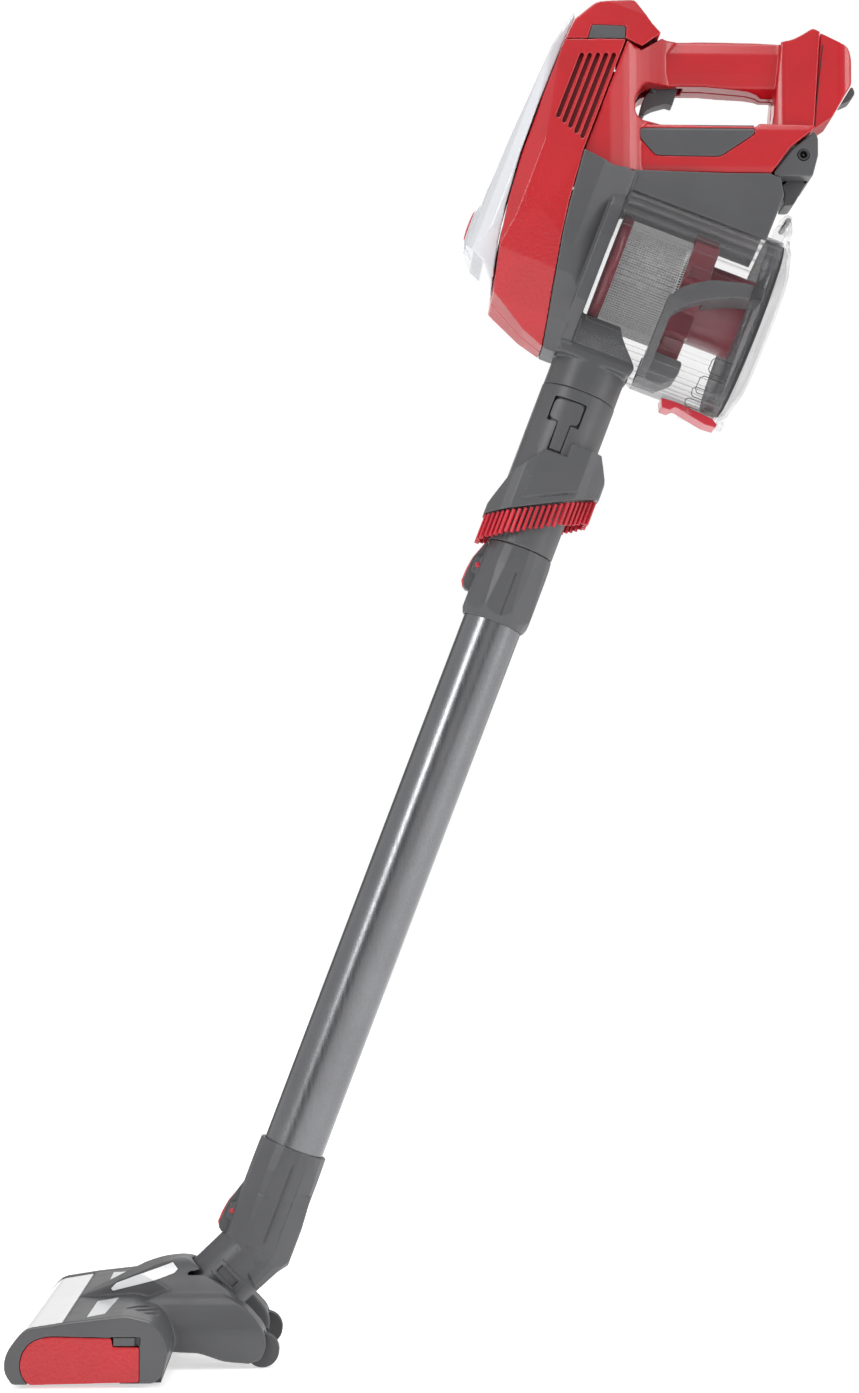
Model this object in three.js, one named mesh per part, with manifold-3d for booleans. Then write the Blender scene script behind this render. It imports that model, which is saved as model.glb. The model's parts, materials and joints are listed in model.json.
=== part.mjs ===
// Cordless stick vacuum: handheld unit, dust bin, wand, neck and powered floor head.
// Millimetres, +Z up. +X is the rear, -Y the user's left. The origin is on the floor under the head.
import * as THREE from 'three';
import { mergeVertices } from 'three/addons/utils/BufferGeometryUtils.js';
import Module from 'manifold-3d';

const wasm = await Module();
wasm.setup();

// ---------------------------------------------------------------- driving dimensions
const GAP = 0.35;              // clearance between neighbouring pieces
const WALL = 2.4;              // moulded wall thickness
const FINEST = 0.05;           // edges shorter than this are merged away
const SIDES = 24;              // facets of a large round piece
const CORNER_STEPS = 2;        // facets of a rounded outline corner

const LEAN = THREE.MathUtils.degToRad(20.8);   // wand angle from the vertical
const WAND_FOOT = { x: 142.1, z: 171.2 };      // point of the wand axis at the lower socket
const HANDLE_HEIGHT = 780;                     // place of the level handle frame along the wand axis

const TUBE_RADIUS = 22.5;
const TUBE_WALL = 1.3;
const TUBE_LOW = -72;
const TUBE_HIGH = 432;
const SOCKET_HIGH = 455;
const SOCKET_LOW = 396;
const ELBOW_RIM = -20.8;
const BEND = -98;              // wand axis height where the neck turns forward
const NECK_ANGLE = THREE.MathUtils.degToRad(43.4);
const PIVOT = { x: 67, z: 41.5 };              // tilt axis of the neck in the head
const BALL_RADIUS = 22.5;
const NECK_RADIUS = 24.5;
const SLOT_HALF = 28;                          // half width of the slot for the neck in the head

const BIN_AXIS = 675;          // height of the bin and motor axis along the wand
const BIN_RADIUS = 72;
const CYCLONE_AXIS = 681;
const SHROUD_RADIUS = 42;
const CONE_RADIUS = 31;
const BIN_FRONT = -19.5;
const BIN_REAR = 103;

const HEAD_HALF_WIDTH = 125;
const CAP_THICKNESS = 7.7;
const ROLL_AXIS = { x: -31.8, z: 18 };
const ROLL_RADIUS = 15.5;
const DRIVE_AXIS = { x: 26, z: 24 };
const WHEEL_RADIUS = 12;
const WHEEL_AXIS = { x: 113.8, z: WHEEL_RADIUS };
const WHEEL_SIDES = [42.5, 52.5];               // inner and outer face of a rear wheel

const BATTERY_HALF_WIDTH = 29.2;
const CELL_RADIUS = 9.1;
const CELL_LENGTH = 65;
const CELL_PITCH = 18.5;

// ---------------------------------------------------------------- materials
const RED = 0xc8202b;
const CHARCOAL = 0x55565a;
const DARK = 0x2c2d30;
const SILVER = 0xd9dbe0;
const METAL = 0x8d8f94;
const CLEAR = 0xc9d0d4;
const WINE = 0x7a2430;

function plastic(color, roughness = 0.45) {
  return () => new THREE.MeshStandardMaterial({ color, roughness, metalness: 0 });
}

function metal(color = METAL, roughness = 0.32) {
  return () => new THREE.MeshStandardMaterial({ color, roughness, metalness: 0.9 });
}

function clear() {
  return new THREE.MeshStandardMaterial({
    color: CLEAR, roughness: 0.08, metalness: 0, transparent: true, opacity: 0.4,
  });
}

const red = plastic(RED, 0.3);
const charcoal = plastic(CHARCOAL);
const dark = plastic(DARK, 0.6);
const silver = plastic(SILVER, 0.25);

// ---------------------------------------------------------------- outlines and solids
// Each outline point is [x, y] or [x, y, trim]; trim is the length cut off each side of a rounded corner.
function outline(points) {
  const shape = new THREE.Shape();
  points.forEach((point, i) => {
    const corner = new THREE.Vector2(point[0], point[1]);
    const before = new THREE.Vector2(...points.at(i - 1).slice(0, 2));
    const after = new THREE.Vector2(...points[(i + 1) % points.length].slice(0, 2));
    const room = Math.min(corner.distanceTo(before), corner.distanceTo(after));
    const trim = Math.min(point[2] ?? 0, 0.48 * room);
    const start = corner.clone().add(before.sub(corner).setLength(trim));
    const end = corner.clone().add(after.sub(corner).setLength(trim));
    if (i === 0) shape.moveTo(start.x, start.y);
    else shape.lineTo(start.x, start.y);
    if (trim > 0) shape.quadraticCurveTo(corner.x, corner.y, end.x, end.y);
  });
  shape.closePath();
  return shape;
}

// Right half of a symmetric outline, given bottom to top as [halfWidth, height, trim].
function mirrored(points) {
  const left = points.map(([x, ...rest]) => [-x, ...rest]).reverse();
  return outline([...points, ...left]);
}

// Moves every edge of a counter-clockwise outline inwards.
function inset(points, distance) {
  const edge = (p, q) => {
    const along = new THREE.Vector2(q[0] - p[0], q[1] - p[1]).normalize();
    const shift = new THREE.Vector2(-along.y, along.x).multiplyScalar(distance);
    return { along, shift };
  };
  return points.map((point, i) => {
    const a = edge(points.at(i - 1), point);
    const b = edge(point, points[(i + 1) % points.length]);
    const turn = 1 + a.along.dot(b.along);
    const move = a.shift.clone().add(b.shift).divideScalar(turn);
    return [point[0] + move.x, point[1] + move.y, point[2] ?? 0];
  });
}

function circle(radius, x = 0, y = 0) {
  return new THREE.Shape().absarc(x, y, radius, 0, 2 * Math.PI, false);
}

function solid(geometry) {
  geometry.deleteAttribute('normal');
  geometry.deleteAttribute('uv');
  const merged = mergeVertices(geometry, 1e-4);
  const index = merged.index.array;
  const triangles = [];
  for (let i = 0; i < index.length; i += 3) {
    const [a, b, c] = index.slice(i, i + 3);
    if (a !== b && b !== c && c !== a) triangles.push(a, b, c);
  }
  return new wasm.Manifold(new wasm.Mesh({
    numProp: 3,
    vertProperties: new Float32Array(merged.attributes.position.array),
    triVerts: new Uint32Array(triangles),
  }));
}

// The two sketch axes and the direction of extrusion for each extrusion axis.
const PLANES = {
  x: [[0, 1, 0], [0, 0, 1], [1, 0, 0]],
  y: [[1, 0, 0], [0, 0, 1], [0, -1, 0]],
  z: [[1, 0, 0], [0, 1, 0], [0, 0, 1]],
};

// Extrudes a shape along x (sketch y, z), y (sketch x, z) or z (sketch x, y), from low to high.
function prism(axis, shape, low, high, segments = CORNER_STEPS) {
  const geometry = new THREE.ExtrudeGeometry(shape, {
    depth: high - low, bevelEnabled: false, curveSegments: segments,
  });
  const [right, up, out] = PLANES[axis].map((v) => new THREE.Vector3(...v));
  geometry.applyMatrix4(new THREE.Matrix4().makeBasis(right, up, out));
  const start = axis === 'y' ? high : low;
  geometry.translate(...['x', 'y', 'z'].map((name) => (name === axis ? start : 0)));
  return solid(geometry);
}

// A three.js arc is drawn with twice its number of segments.
function rod(axis, radius, low, high, centre = [0, 0], sides = SIDES) {
  return prism(axis, circle(radius, ...centre), low, high, sides / 2);
}

function ring(axis, outer, inner, low, high, centre = [0, 0], sides = SIDES) {
  const bore = rod(axis, inner, low - 1, high + 1, centre, sides);
  return rod(axis, outer, low, high, centre, sides).subtract(bore);
}

function box(low, high) {
  const size = high.map((value, i) => value - low[i]);
  const centre = high.map((value, i) => (value + low[i]) / 2);
  return solid(new THREE.BoxGeometry(...size).translate(...centre));
}

// Turned solid: profile of [radius, height] points about the given axis through a centre.
function turned(axis, profile, centre = [0, 0, 0], sides = SIDES) {
  const points = profile.map((p) => new THREE.Vector2(...p));
  if (THREE.ShapeUtils.area(points) < 0) points.reverse();
  const geometry = new THREE.LatheGeometry(points, sides);
  if (axis === 'x') geometry.rotateZ(-Math.PI / 2);
  if (axis === 'z') geometry.rotateX(Math.PI / 2);
  return solid(geometry.translate(...centre));
}

function ball(radius, centre, sides = 16) {
  return solid(new THREE.SphereGeometry(radius, sides, sides / 2).translate(...centre));
}

function join(...pieces) {
  return pieces.reduce((sum, piece) => sum.add(piece));
}

function cut(body, ...tools) {
  return tools.reduce((rest, tool) => rest.subtract(tool), body);
}

// The largest connected piece, without the slivers that a cut can leave.
function whole(body) {
  return body.decompose().sort((a, b) => b.volume() - a.volume())[0];
}

function mesh(name, body, material) {
  const data = whole(body).simplify(FINEST).getMesh();
  const geometry = new THREE.BufferGeometry();
  geometry.setAttribute('position', new THREE.BufferAttribute(data.vertProperties, 3));
  geometry.setIndex(new THREE.BufferAttribute(data.triVerts, 1));
  geometry.computeVertexNormals();
  const result = new THREE.Mesh(geometry, material());
  result.name = name;
  return result;
}

// Splits a symmetric shell at the middle plane into a left and a right half.
function halves(name, body, material) {
  const far = 400;
  const left = box([-far, -far, -far], [far, -GAP / 2, 3 * far]);
  const right = box([-far, GAP / 2, -far], [far, far, 3 * far]);
  return [
    mesh(`${name}_left`, body.intersect(left), material),
    mesh(`${name}_right`, body.intersect(right), material),
  ];
}

// ---------------------------------------------------------------- frames
// Along the wand: x is across it (rearward), z is up it. The handle frame is level again.
const vacuum = new THREE.Group();
const leaned = new THREE.Group();
leaned.position.set(WAND_FOOT.x, 0, WAND_FOOT.z);
leaned.rotation.y = LEAN;
const level = new THREE.Group();
level.position.set(0, 0, HANDLE_HEIGHT);
level.rotation.y = -LEAN;
leaned.add(level);
vacuum.add(leaned);

// A body drawn in the level handle frame, moved into the leaned frame.
function leanedFromLevel(body) {
  return body.rotate([0, -THREE.MathUtils.radToDeg(LEAN), 0]).translate([0, 0, HANDLE_HEIGHT]);
}

function levelFromLeaned(body) {
  return body.translate([0, 0, -HANDLE_HEIGHT]).rotate([0, THREE.MathUtils.radToDeg(LEAN), 0]);
}

// ---------------------------------------------------------------- motor casing
const CASING_SIDE = [
  [-88, 625], [-58, 609], [-38, 602.6], [-20, 602.6], [-20, 760], [-20, 848], [-37, 855], [-49, 862],
  [-67.7, 876.5, 3], [-94, 862, 4], [-104, 842], [-105.5, 822], [-106, 767], [-105, 729],
  [-101.5, 690], [-97, 662],
];
const CASING_FRONT = [
  [22, 602], [40, 622], [54, 655], [59.5, 690], [58.5, 742], [47, 800], [41, 838], [33, 866], [26, 878],
];
const CASING_TOP = [
  [-107, -43], [-92, -58], [-80, -60], [-45, -57], [-20, -46], [-20, 46], [-45, 57], [-80, 60],
  [-92, 58], [-107, 43],
];
// The slanted joint between the red front casing and the grey rear casing.
const JOINT_LINE = [[-38.9, 600], [-47.6, 640], [-55.6, 681], [-58.8, 704], [-62.8, 746]];

function casingHull(depth) {
  const side = prism('y', outline(inset(CASING_SIDE, depth)), -70, 70);
  const frontPoints = CASING_FRONT.map(([y, z]) => [y - depth, z + (z < 650 ? depth : 0)]);
  const front = prism('x', mirrored(frontPoints), -120, -10);
  const top = prism('z', outline(inset(CASING_TOP, depth)), 560, 920);
  return side.intersect(front).intersect(top);
}

const casingOuter = casingHull(0);
const casingInner = casingHull(WALL);

function shifted(points, dx, dz = 0) {
  return points.map(([x, z]) => [x + dx, z + dz]);
}

function redRegion() {
  const points = [[-130, 560], [-38.9, 560], ...JOINT_LINE, [-62.9, 841.2], [-130, 813.5]];
  return prism('y', outline(points), -80, 80);
}

function ventSlots() {
  const slotCount = 5;
  const pitch = 5.6;
  const slots = [];
  for (let i = 0; i < slotCount; i += 1) {
    const x = -91 + i * pitch;
    const low = 762 - i * 2.2;
    const high = 818 + i * 2.3;
    slots.push(prism(
      'y', outline([[x, low, 1], [x + 3, low, 1], [x + 3, high, 1], [x, high, 1]]), -80, 80,
    ));
  }
  return slots;
}

function motorCasing() {
  const openFront = prism('y', outline([
    [-92, 640], [-60, 622], [-60, 835], [-98, 830], [-130, 830], [-130, 640],
  ]), -44, 44).intersect(prism('x', mirrored(CASING_FRONT.map(([y, z]) => [y - 9, z])), -140, -50));
  const shell = cut(casingOuter.intersect(redRegion()), casingInner, openFront, ...ventSlots());
  return halves('casing', shell, red);
}

const LATCH_PLATE = [[-89.6, 830.9], [-64, 841.4], [-66.5, 851.4, 2], [-90.5, 842.2, 2]];

function topCap() {
  const region = prism('y', outline([
    [-130, 814.2], [-62.6, 841.9], [-49.75, 840.7], [-38.4, 859.2], [-20, 890], [-20, 920], [-130, 920],
  ]), -80, 80);
  const between = box([-95, -30, 800], [-60, 30, 900]);
  const pocket = cut(prism('y', outline(inset(LATCH_PLATE, -GAP)), -80, 80), between);
  return mesh('top_cap', cut(casingOuter.intersect(region), casingInner, pocket), red);
}

function coverLatches() {
  const plate = prism('y', outline(LATCH_PLATE), -80, 80);
  const skin = cut(casingOuter, casingHull(3));
  const band = plate.intersect(skin);
  return [
    mesh('cover_latch_left', band.intersect(box([-200, -80, 0], [0, -20, 1000])), charcoal),
    mesh('cover_latch_right', band.intersect(box([-200, 20, 0], [0, 80, 1000])), charcoal),
  ];
}

// ---------------------------------------------------------------- front cover
const COVER_SIDE = [
  [-89.5, 626.5], [-98, 662], [-102.6, 690], [-106, 729], [-106.7, 767], [-106.1, 822], [-104.8, 846],
  [-107, 851], [-113.2, 818], [-115.6, 780], [-118, 745], [-119.2, 712], [-120.4, 700], [-120.4, 655],
  [-113, 650], [-103, 645], [-94, 636],
];
const COVER_FRONT = [
  [16, 627], [34, 643], [46, 668], [50.5, 695], [48.5, 740], [42, 795], [35, 830], [26, 851],
];
const COVER_TOP = [
  [-122, -16], [-119, -28], [-114, -38], [-107, -46], [-86, -51], [-86, 51], [-107, 46], [-114, 38],
  [-119, 28], [-122, 16],
];
const BOSS_RADIUS = 25;
const BADGE_RADIUS = 13;

function coverHull(depth) {
  const side = prism('y', outline(COVER_SIDE), -70, 70).translate([depth, 0, 0]);
  const front = prism('x', mirrored(COVER_FRONT.map(([y, z]) => [y - depth, z])), -130, -80);
  const top = prism('z', outline(inset(COVER_TOP, depth)), 560, 920);
  return side.intersect(front).intersect(top);
}

function frontCover() {
  const boss = turned('x', [
    [0, -5], [BADGE_RADIUS + 0.6, -5], [BADGE_RADIUS + 0.6, -7], [BOSS_RADIUS - 3, -4],
    [BOSS_RADIUS, 6], [0, 6],
  ], [-117, 0, BIN_AXIS]);
  const bossHollow = rod('x', BOSS_RADIUS - 6, -119, -100, [0, BIN_AXIS]);
  const shell = cut(coverHull(0).add(boss), coverHull(WALL), bossHollow);
  return mesh('front_cover', shell, silver);
}

function frontBadge() {
  const profile = [[0, -3], [BADGE_RADIUS - 2, -2.4], [BADGE_RADIUS, -1.4], [BADGE_RADIUS, 0], [0, 0]];
  return mesh('front_badge', turned('x', profile, [-122.4, 0, BIN_AXIS]), red);
}

// ---------------------------------------------------------------- motor and air path
const MOTOR_RADIUS = 34;
const SHAFT_RADIUS = 3;
const IMPELLER_RADIUS = 37;
const FAN_REAR = -38;

function motor() {
  const can = rod('x', MOTOR_RADIUS, -92, -54, [0, BIN_AXIS]);
  const collar = rod('x', 12, -96, -50.5, [0, BIN_AXIS]);
  const bore = rod('x', SHAFT_RADIUS + 0.4, -80, -40, [0, BIN_AXIS]);
  return mesh('motor', cut(can.add(collar), bore), metal());
}

function impeller() {
  const bladeCount = 9;
  const hub = rod('x', 10, -49, FAN_REAR, [0, BIN_AXIS]);
  const plate = rod('x', IMPELLER_RADIUS, -49, -47, [0, BIN_AXIS]);
  const shaft = rod('x', SHAFT_RADIUS, -76, -45, [0, BIN_AXIS], 16);
  const blades = [];
  for (let i = 0; i < bladeCount; i += 1) {
    const blade = box([-48, 0, 8], [-40, 1.6, IMPELLER_RADIUS - 1]).rotate([i * 360 / bladeCount, 0, 0]);
    blades.push(blade.translate([0, 0, BIN_AXIS]));
  }
  return mesh('impeller', join(hub, plate, shaft, ...blades), metal(METAL, 0.4));
}

function motorFilter() {
  const pad = turned('x', [[0, 0], [32, 0], [32, 9], [27, 11], [0, 11]], [-33, 0, BIN_AXIS]);
  return mesh('motor_filter', pad, plastic(0xe9e6da, 0.95));
}

function controlBoard() {
  const board = box([-92, -24, 770], [-90, 24, 822]);
  const choke = box([-90.2, -12, 785], [-80, 12, 806]);
  return mesh('control_board', board.add(choke), plastic(0x1f5a36, 0.5));
}

// ---------------------------------------------------------------- rear casing with pipe and cradle
const PIPE_RADIUS = 28.6;
const PIPE_LOW = 581;
const PIPE_NECK_RADIUS = 25;
const PIPE_BORE = 22;
const PIPE_TOP = 650;
const FLANGE_FRONT = -28;

const BRIDGE_BOTTOM = -20.4;
const CRADLE_SIDE = [
  [-75, -21 - 19], [-75, -7.6], [-47.7, BRIDGE_BOTTOM - GAP], [72, BRIDGE_BOTTOM - GAP], [80, -24.7],
  [82.4, -37.6], [59.5, -92], [-40, -92],
];

function cradle() {
  const side = leanedFromLevel(prism('y', outline(CRADLE_SIDE), -60, 60));
  const front = prism('x', mirrored([[30, 700], [46, 712], [43, 745], [34.5, 775], [34.5, 800]]), -60, 200);
  const hollow = leanedFromLevel(box([-30, -31, -90], [78, 31, BRIDGE_BOTTOM - 3]));
  const aheadOfRed = prism(
    'y', outline([...shifted(JOINT_LINE, GAP), [-62, 900], [200, 900], [200, 600]]), -80, 80,
  );
  return cut(side.intersect(front).intersect(aheadOfRed), hollow, casingInner);
}

function casingRear() {
  const region = prism('y', outline([
    ...shifted(JOINT_LINE, GAP), [-62, 747], [-19.9, 747], [-19.9, 716], [FLANGE_FRONT, 700],
    [FLANGE_FRONT, 600],
  ]), -80, 80);
  const handleRoom = leanedFromLevel(prism('y', outline([
    [-75, -7.4], [-47.7, BRIDGE_BOTTOM - GAP], [120, BRIDGE_BOTTOM - GAP], [120, 120], [-75, 120],
  ]), -80, 80));
  const wall = cut(casingOuter.intersect(region), casingInner);
  const flange = ring('x', 70, 33.5, FLANGE_FRONT - 2, BIN_FRONT - 0.6, [0, BIN_AXIS])
    .intersect(prism('x', mirrored([[25, 604], [52, 640], [60, 690], [54, 747]]), -60, 0));
  const binRoom = rod('x', BIN_RADIUS + 1.2, BIN_FRONT - 0.1, 200, [0, BIN_AXIS], 36);
  const fairing = prism('y', outline([
    [1 - PIPE_RADIUS, 604], [PIPE_RADIUS, 604], [32, 611, 4], [15, 630, 8], [9, 643, 5], [0, PIPE_TOP, 5],
    [-9, PIPE_TOP, 5], [-20, 640, 6], [-26.5, 622, 6],
  ]), -34, 34);
  const fairingWidth = prism('x', mirrored([
    [PIPE_RADIUS, 600], [PIPE_RADIUS, 610], [26, 628, 8], [17, 643, 8], [5, PIPE_TOP, 4],
  ]), -40, 40);
  const cycloneRoom = rod('x', SHROUD_RADIUS + 4, BIN_FRONT - 0.4, 60, [0, CYCLONE_AXIS]);
  const filterRoom = rod('x', 33.5, -40, BIN_FRONT, [0, BIN_AXIS]);
  const pipe = rod('z', PIPE_RADIUS, PIPE_LOW, 622).add(cut(fairing.intersect(fairingWidth), cycloneRoom));
  const neck = rod('z', PIPE_NECK_RADIUS, SOCKET_HIGH + GAP, PIPE_LOW + 2);
  const bore = rod('z', PIPE_BORE, SOCKET_HIGH - 2, 630);
  const outlet = box([0, -16, 606], [60, 16, 631.5]);
  const body = join(cut(join(wall, flange, cradle()), binRoom), pipe, neck);
  return mesh('casing_rear', cut(body, handleRoom, bore, outlet, filterRoom), charcoal);
}

// ---------------------------------------------------------------- handle (level frame)
const GRIP_HALF_WIDTH = 17.5;
const BRIDGE_HALF_WIDTH = 34;
const COLUMN_HALF_WIDTH = 22;
const HANDLE_SIDE = [
  [-70.2, -9.6], [-47.7, BRIDGE_BOTTOM], [72.8, BRIDGE_BOTTOM], [87.6, -0.2], [105.2, 13.7, 1],
  [107.6, 17], [112, 79], [113, 92.6], [107.4, 95.4, 2], [98.4, 89.6, 3], [88, 84.6, 6],
  [62.7, 86.6], [24.1, 87.2], [-3.7, 86, 3], [-7.5, 87], [-24.9, 73.6], [-36.1, 78.3],
];
const FINGER_HOLE = [
  [-25, 20, 2], [75, 20, 2], [79.5, 35, 6], [66, 47.5, 8], [24, 51], [6, 51], [-22, 49.5, 4],
  [-30, 36, 4], [-30, 24, 3],
];
const BRIDGE_TOP = [
  [-72, 10], [-60, 17.5], [-25.3, 19.8], [-24.6, 17.2], [62, 15.6], [64.3, 18.2], [112, 17],
];

function below(line, floor) {
  return [[line[0][0], floor], [line.at(-1)[0], floor], ...line.toReversed()];
}

function handleSolid() {
  const side = prism('y', outline(HANDLE_SIDE), -70, 70);
  const bridgeWidth = prism('x', mirrored([
    [30, -30], [BRIDGE_HALF_WIDTH, -15], [BRIDGE_HALF_WIDTH, 12], [29, 22],
  ]), -80, 130);
  const bridge = prism('y', outline(below(BRIDGE_TOP, -40)), -60, 60).intersect(bridgeWidth);
  const gripWidth = prism('x', mirrored([
    [8, 44], [GRIP_HALF_WIDTH - 2, 50], [GRIP_HALF_WIDTH, 61], [GRIP_HALF_WIDTH, 75],
    [GRIP_HALF_WIDTH - 4, 84.5], [8, 89],
  ]), -50, 108);
  const column = prism('z', outline([
    [70, -12, 3], [84, -COLUMN_HALF_WIDTH, 4], [125, -COLUMN_HALF_WIDTH], [125, COLUMN_HALF_WIDTH],
    [84, COLUMN_HALF_WIDTH, 4], [70, 12, 3],
  ]), 10, 110);
  const root = prism('z', outline([
    [-75, -53], [-50, -47], [-34, -40, 6], [-18, -29, 8], [-4, -17, 6], [4, -13], [4, 13], [-4, 17, 6],
    [-18, 29, 8], [-34, 40, 6], [-50, 47], [-75, 53],
  ]), -30, 120).intersect(levelFromLeaned(casingOuter.add(
    prism('y', outline([[-45, 740], [2, 740], [2, 870], [-45, 864]]), -40, 40),
  )));
  const behindGrip = prism('y', outline([[76, 16], [120, 16], [120, 110], [86, 110]]), -60, 60);
  return join(bridge, gripWidth, column.intersect(behindGrip), root).intersect(side);
}

const TOOL_LOW = 59.5;
const TOOL_HIGH = 80;
const TOOL_HALF_WIDTH = 10;
const BATTERY_ROOM = [[-52, -29.6, -15.6], [130, 29.6, 12.6]];

function bridgeCoverShape(grow) {
  const side = prism('y', outline([
    [-27.9 - grow, 8 - grow, 2], [-14.5 - grow, -7.4 - grow, 3], [34 + grow, -8 - grow, 3],
    [60.3 + grow, 9.6 - grow, 2], [61.6 + grow, 30], [-27.9 - grow, 30],
  ]), -60, 60);
  const outerWidth = mirrored([[BRIDGE_HALF_WIDTH, -15], [BRIDGE_HALF_WIDTH, 12], [29.5, 17.2]]);
  const innerWidth = mirrored([[32 - grow, -30], [32 - grow, 9.5], [27.5, 15.2 - grow]]);
  const outer = prism('x', outerWidth, -40, 80).intersect(side);
  return cut(outer, prism('x', innerWidth, -50, 90));
}

const TRIGGER_PIVOT = [-13.5, 49.5];
const TRIGGER_PIN_RADIUS = 2;

function handleHalves() {
  const hole = prism('y', outline(FINGER_HOLE), -60, 60);
  const battery = box(...BATTERY_ROOM);
  const tool = box(
    [-24, -TOOL_HALF_WIDTH - 0.6, TOOL_LOW - 0.6], [130, TOOL_HALF_WIDTH + 0.6, TOOL_HIGH + 0.6],
  );
  const triggerSlot = box([-34, -8.6, 30], [9, 8.6, 57]);
  const rootRoom = prism('z', outline([
    [-80, -44], [-56, -40], [-44, -28], [-34, -8.6], [-34, 8.6], [-44, 28], [-56, 40], [-80, 44],
  ]), 20, 60);
  const cover = bridgeCoverShape(GAP);
  const pinBore = rod('y', TRIGGER_PIN_RADIUS + 0.3, -12, 12, TRIGGER_PIVOT, 16);
  const shell = cut(handleSolid(), hole, battery, tool, triggerSlot, rootRoom, cover, pinBore);
  return halves('handle', shell, red);
}

function trigger() {
  const blade = prism('y', outline([
    [-24, 31], [-20.4, 30.6, 1], [-18.6, 34.4, 1], [-13.5, 37.2, 2], [-3, 40.2, 1], [1.6, 38.6, 1],
    [5.2, 50], [4.4, 52.6, 1], [-11, 55.4, 2], [-20.5, 44, 2],
  ]), -7.8, 7.8);
  const pin = rod('y', TRIGGER_PIN_RADIUS, -11, 11, TRIGGER_PIVOT, 16);
  return mesh('trigger', blade.add(pin), charcoal);
}

function triggerSwitch() {
  const block = box([-43, -6, 38], [-28, 6, 50]);
  const plunger = rod('x', 1.8, -29, -25.6, [0, 44], 12);
  return mesh('trigger_switch', block.add(plunger), dark);
}

// ---------------------------------------------------------------- battery pack (level frame)
const PACK_SIDE = [
  [75.6, -18.6], [75.6, -21.8], [104.6, -21.8, 1], [108.8, -6.1, 1], [108.9, 8, 2], [106.2, 12.6, 1],
  [89.2, -1.4],
];

function batteryCase() {
  const tray = box([-50, -BATTERY_HALF_WIDTH, -15], [90, BATTERY_HALF_WIDTH, 9.4]);
  const room = box([-49, -BATTERY_HALF_WIDTH + 1, -13.6], [83.4, BATTERY_HALF_WIDTH - 1, 20]);
  const end = prism('y', outline(PACK_SIDE), -31, 31);
  const jackBore = rod('y', 4.6, -40, -22, [97.8, -5.5], 20);
  const latchRoom = box([86, -16, -26], [103, 16, -17]);
  return mesh('battery_case', cut(join(tray, end), room, jackBore, latchRoom), charcoal);
}

// Six cells in two rows, soldered together by tabs.
function cellPack() {
  const z = -13.2 + CELL_RADIUS + GAP;
  const cans = [];
  for (let row = 0; row < 2; row += 1) {
    for (let column = -1; column <= 1; column += 1) {
      const start = -48.4 + row * (CELL_LENGTH + 0.6);
      cans.push(rod('x', CELL_RADIUS, start, start + CELL_LENGTH, [column * CELL_PITCH, z], 20));
    }
  }
  const tabs = [-48.6, 16.4, 82].map((x) => box(
    [x, -CELL_PITCH - 4, z - 3], [x + 0.8, CELL_PITCH + 4, z + 3],
  ));
  return mesh('cell_pack', join(...cans, ...tabs), plastic(0x3b6ea5, 0.4));
}

function chargeSocket() {
  const body = ring('y', 4.2, 2.9, -31.4, -24, [97.8, -5.5], 20);
  const pin = rod('y', 0.9, -30, -23, [97.8, -5.5], 10);
  const back = rod('y', 4.2, -24.4, -22.6, [97.8, -5.5], 20);
  return mesh('charge_socket', join(body, pin, back), dark);
}

function batteryLatch() {
  const lever = prism('y', outline([
    [87, -18.4], [101, -18.4], [101, -22.4], [102, -23.4], [92.5, -40, 2], [85, -40, 1],
    [86.4, -32.5], [84.2, -24.6], [87, -22.2],
  ]), -14, 14);
  const grooves = [-26, -30, -34].map((z) => box([98, -9, z], [108, 9, z + 1.4])
    .subtract(prism('y', outline([[95, -40], [90, -40], [90, -20], [102, -20], [101.4, -24.4]]), -10, 10)));
  return mesh('battery_latch', cut(lever, ...grooves), charcoal);
}

// ---------------------------------------------------------------- crevice tool (level frame)
const CREVICE_CAP_SIDE = [
  [108, 17.4], [122, 27], [133, 46, 3], [137.6, 53.4, 2], [137.8, 73, 3], [135.4, 81.8, 3],
  [113.6, 92.2], [112.5, 79],
];

function creviceTool() {
  const outer = box([-20, -TOOL_HALF_WIDTH, TOOL_LOW], [113, TOOL_HALF_WIDTH, TOOL_HIGH]);
  const bore = box(
    [-30, -TOOL_HALF_WIDTH + 1.4, TOOL_LOW + 1.4], [109, TOOL_HALF_WIDTH - 1.4, TOOL_HIGH - 1.4],
  );
  const slant = prism(
    'y',
    outline([[-30, TOOL_LOW - 1], [-2, TOOL_LOW - 1], [-22, TOOL_HIGH + 1], [-30, TOOL_HIGH + 1]]),
    -20, 20,
  );
  return mesh('crevice_tool', cut(outer, bore, slant), charcoal);
}

function creviceCap() {
  const block = prism('y', outline(CREVICE_CAP_SIDE), -20, 20);
  const tool = box(
    [100, -TOOL_HALF_WIDTH - GAP, TOOL_LOW - GAP], [113.4, TOOL_HALF_WIDTH + GAP, TOOL_HIGH + GAP],
  );
  const corner = prism('z', outline([
    [100, -20], [132, -20, 5], [143, -12, 3], [143, 12, 3], [132, 20, 5], [100, 20],
  ]), 0, 120);
  return mesh('crevice_cap', block.intersect(corner).subtract(tool), red);
}

function creviceTab() {
  const tab = prism('y', outline([
    [130.4, 40], [138, 43.2, 2], [142, 49, 2], [140, 54, 1], [138.6, 53.6],
  ]), -8, 8);
  return mesh('crevice_tab', tab, charcoal);
}

// ---------------------------------------------------------------- dust bin (leaned frame)
const DOOR_HINGE = [101, 762];

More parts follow.
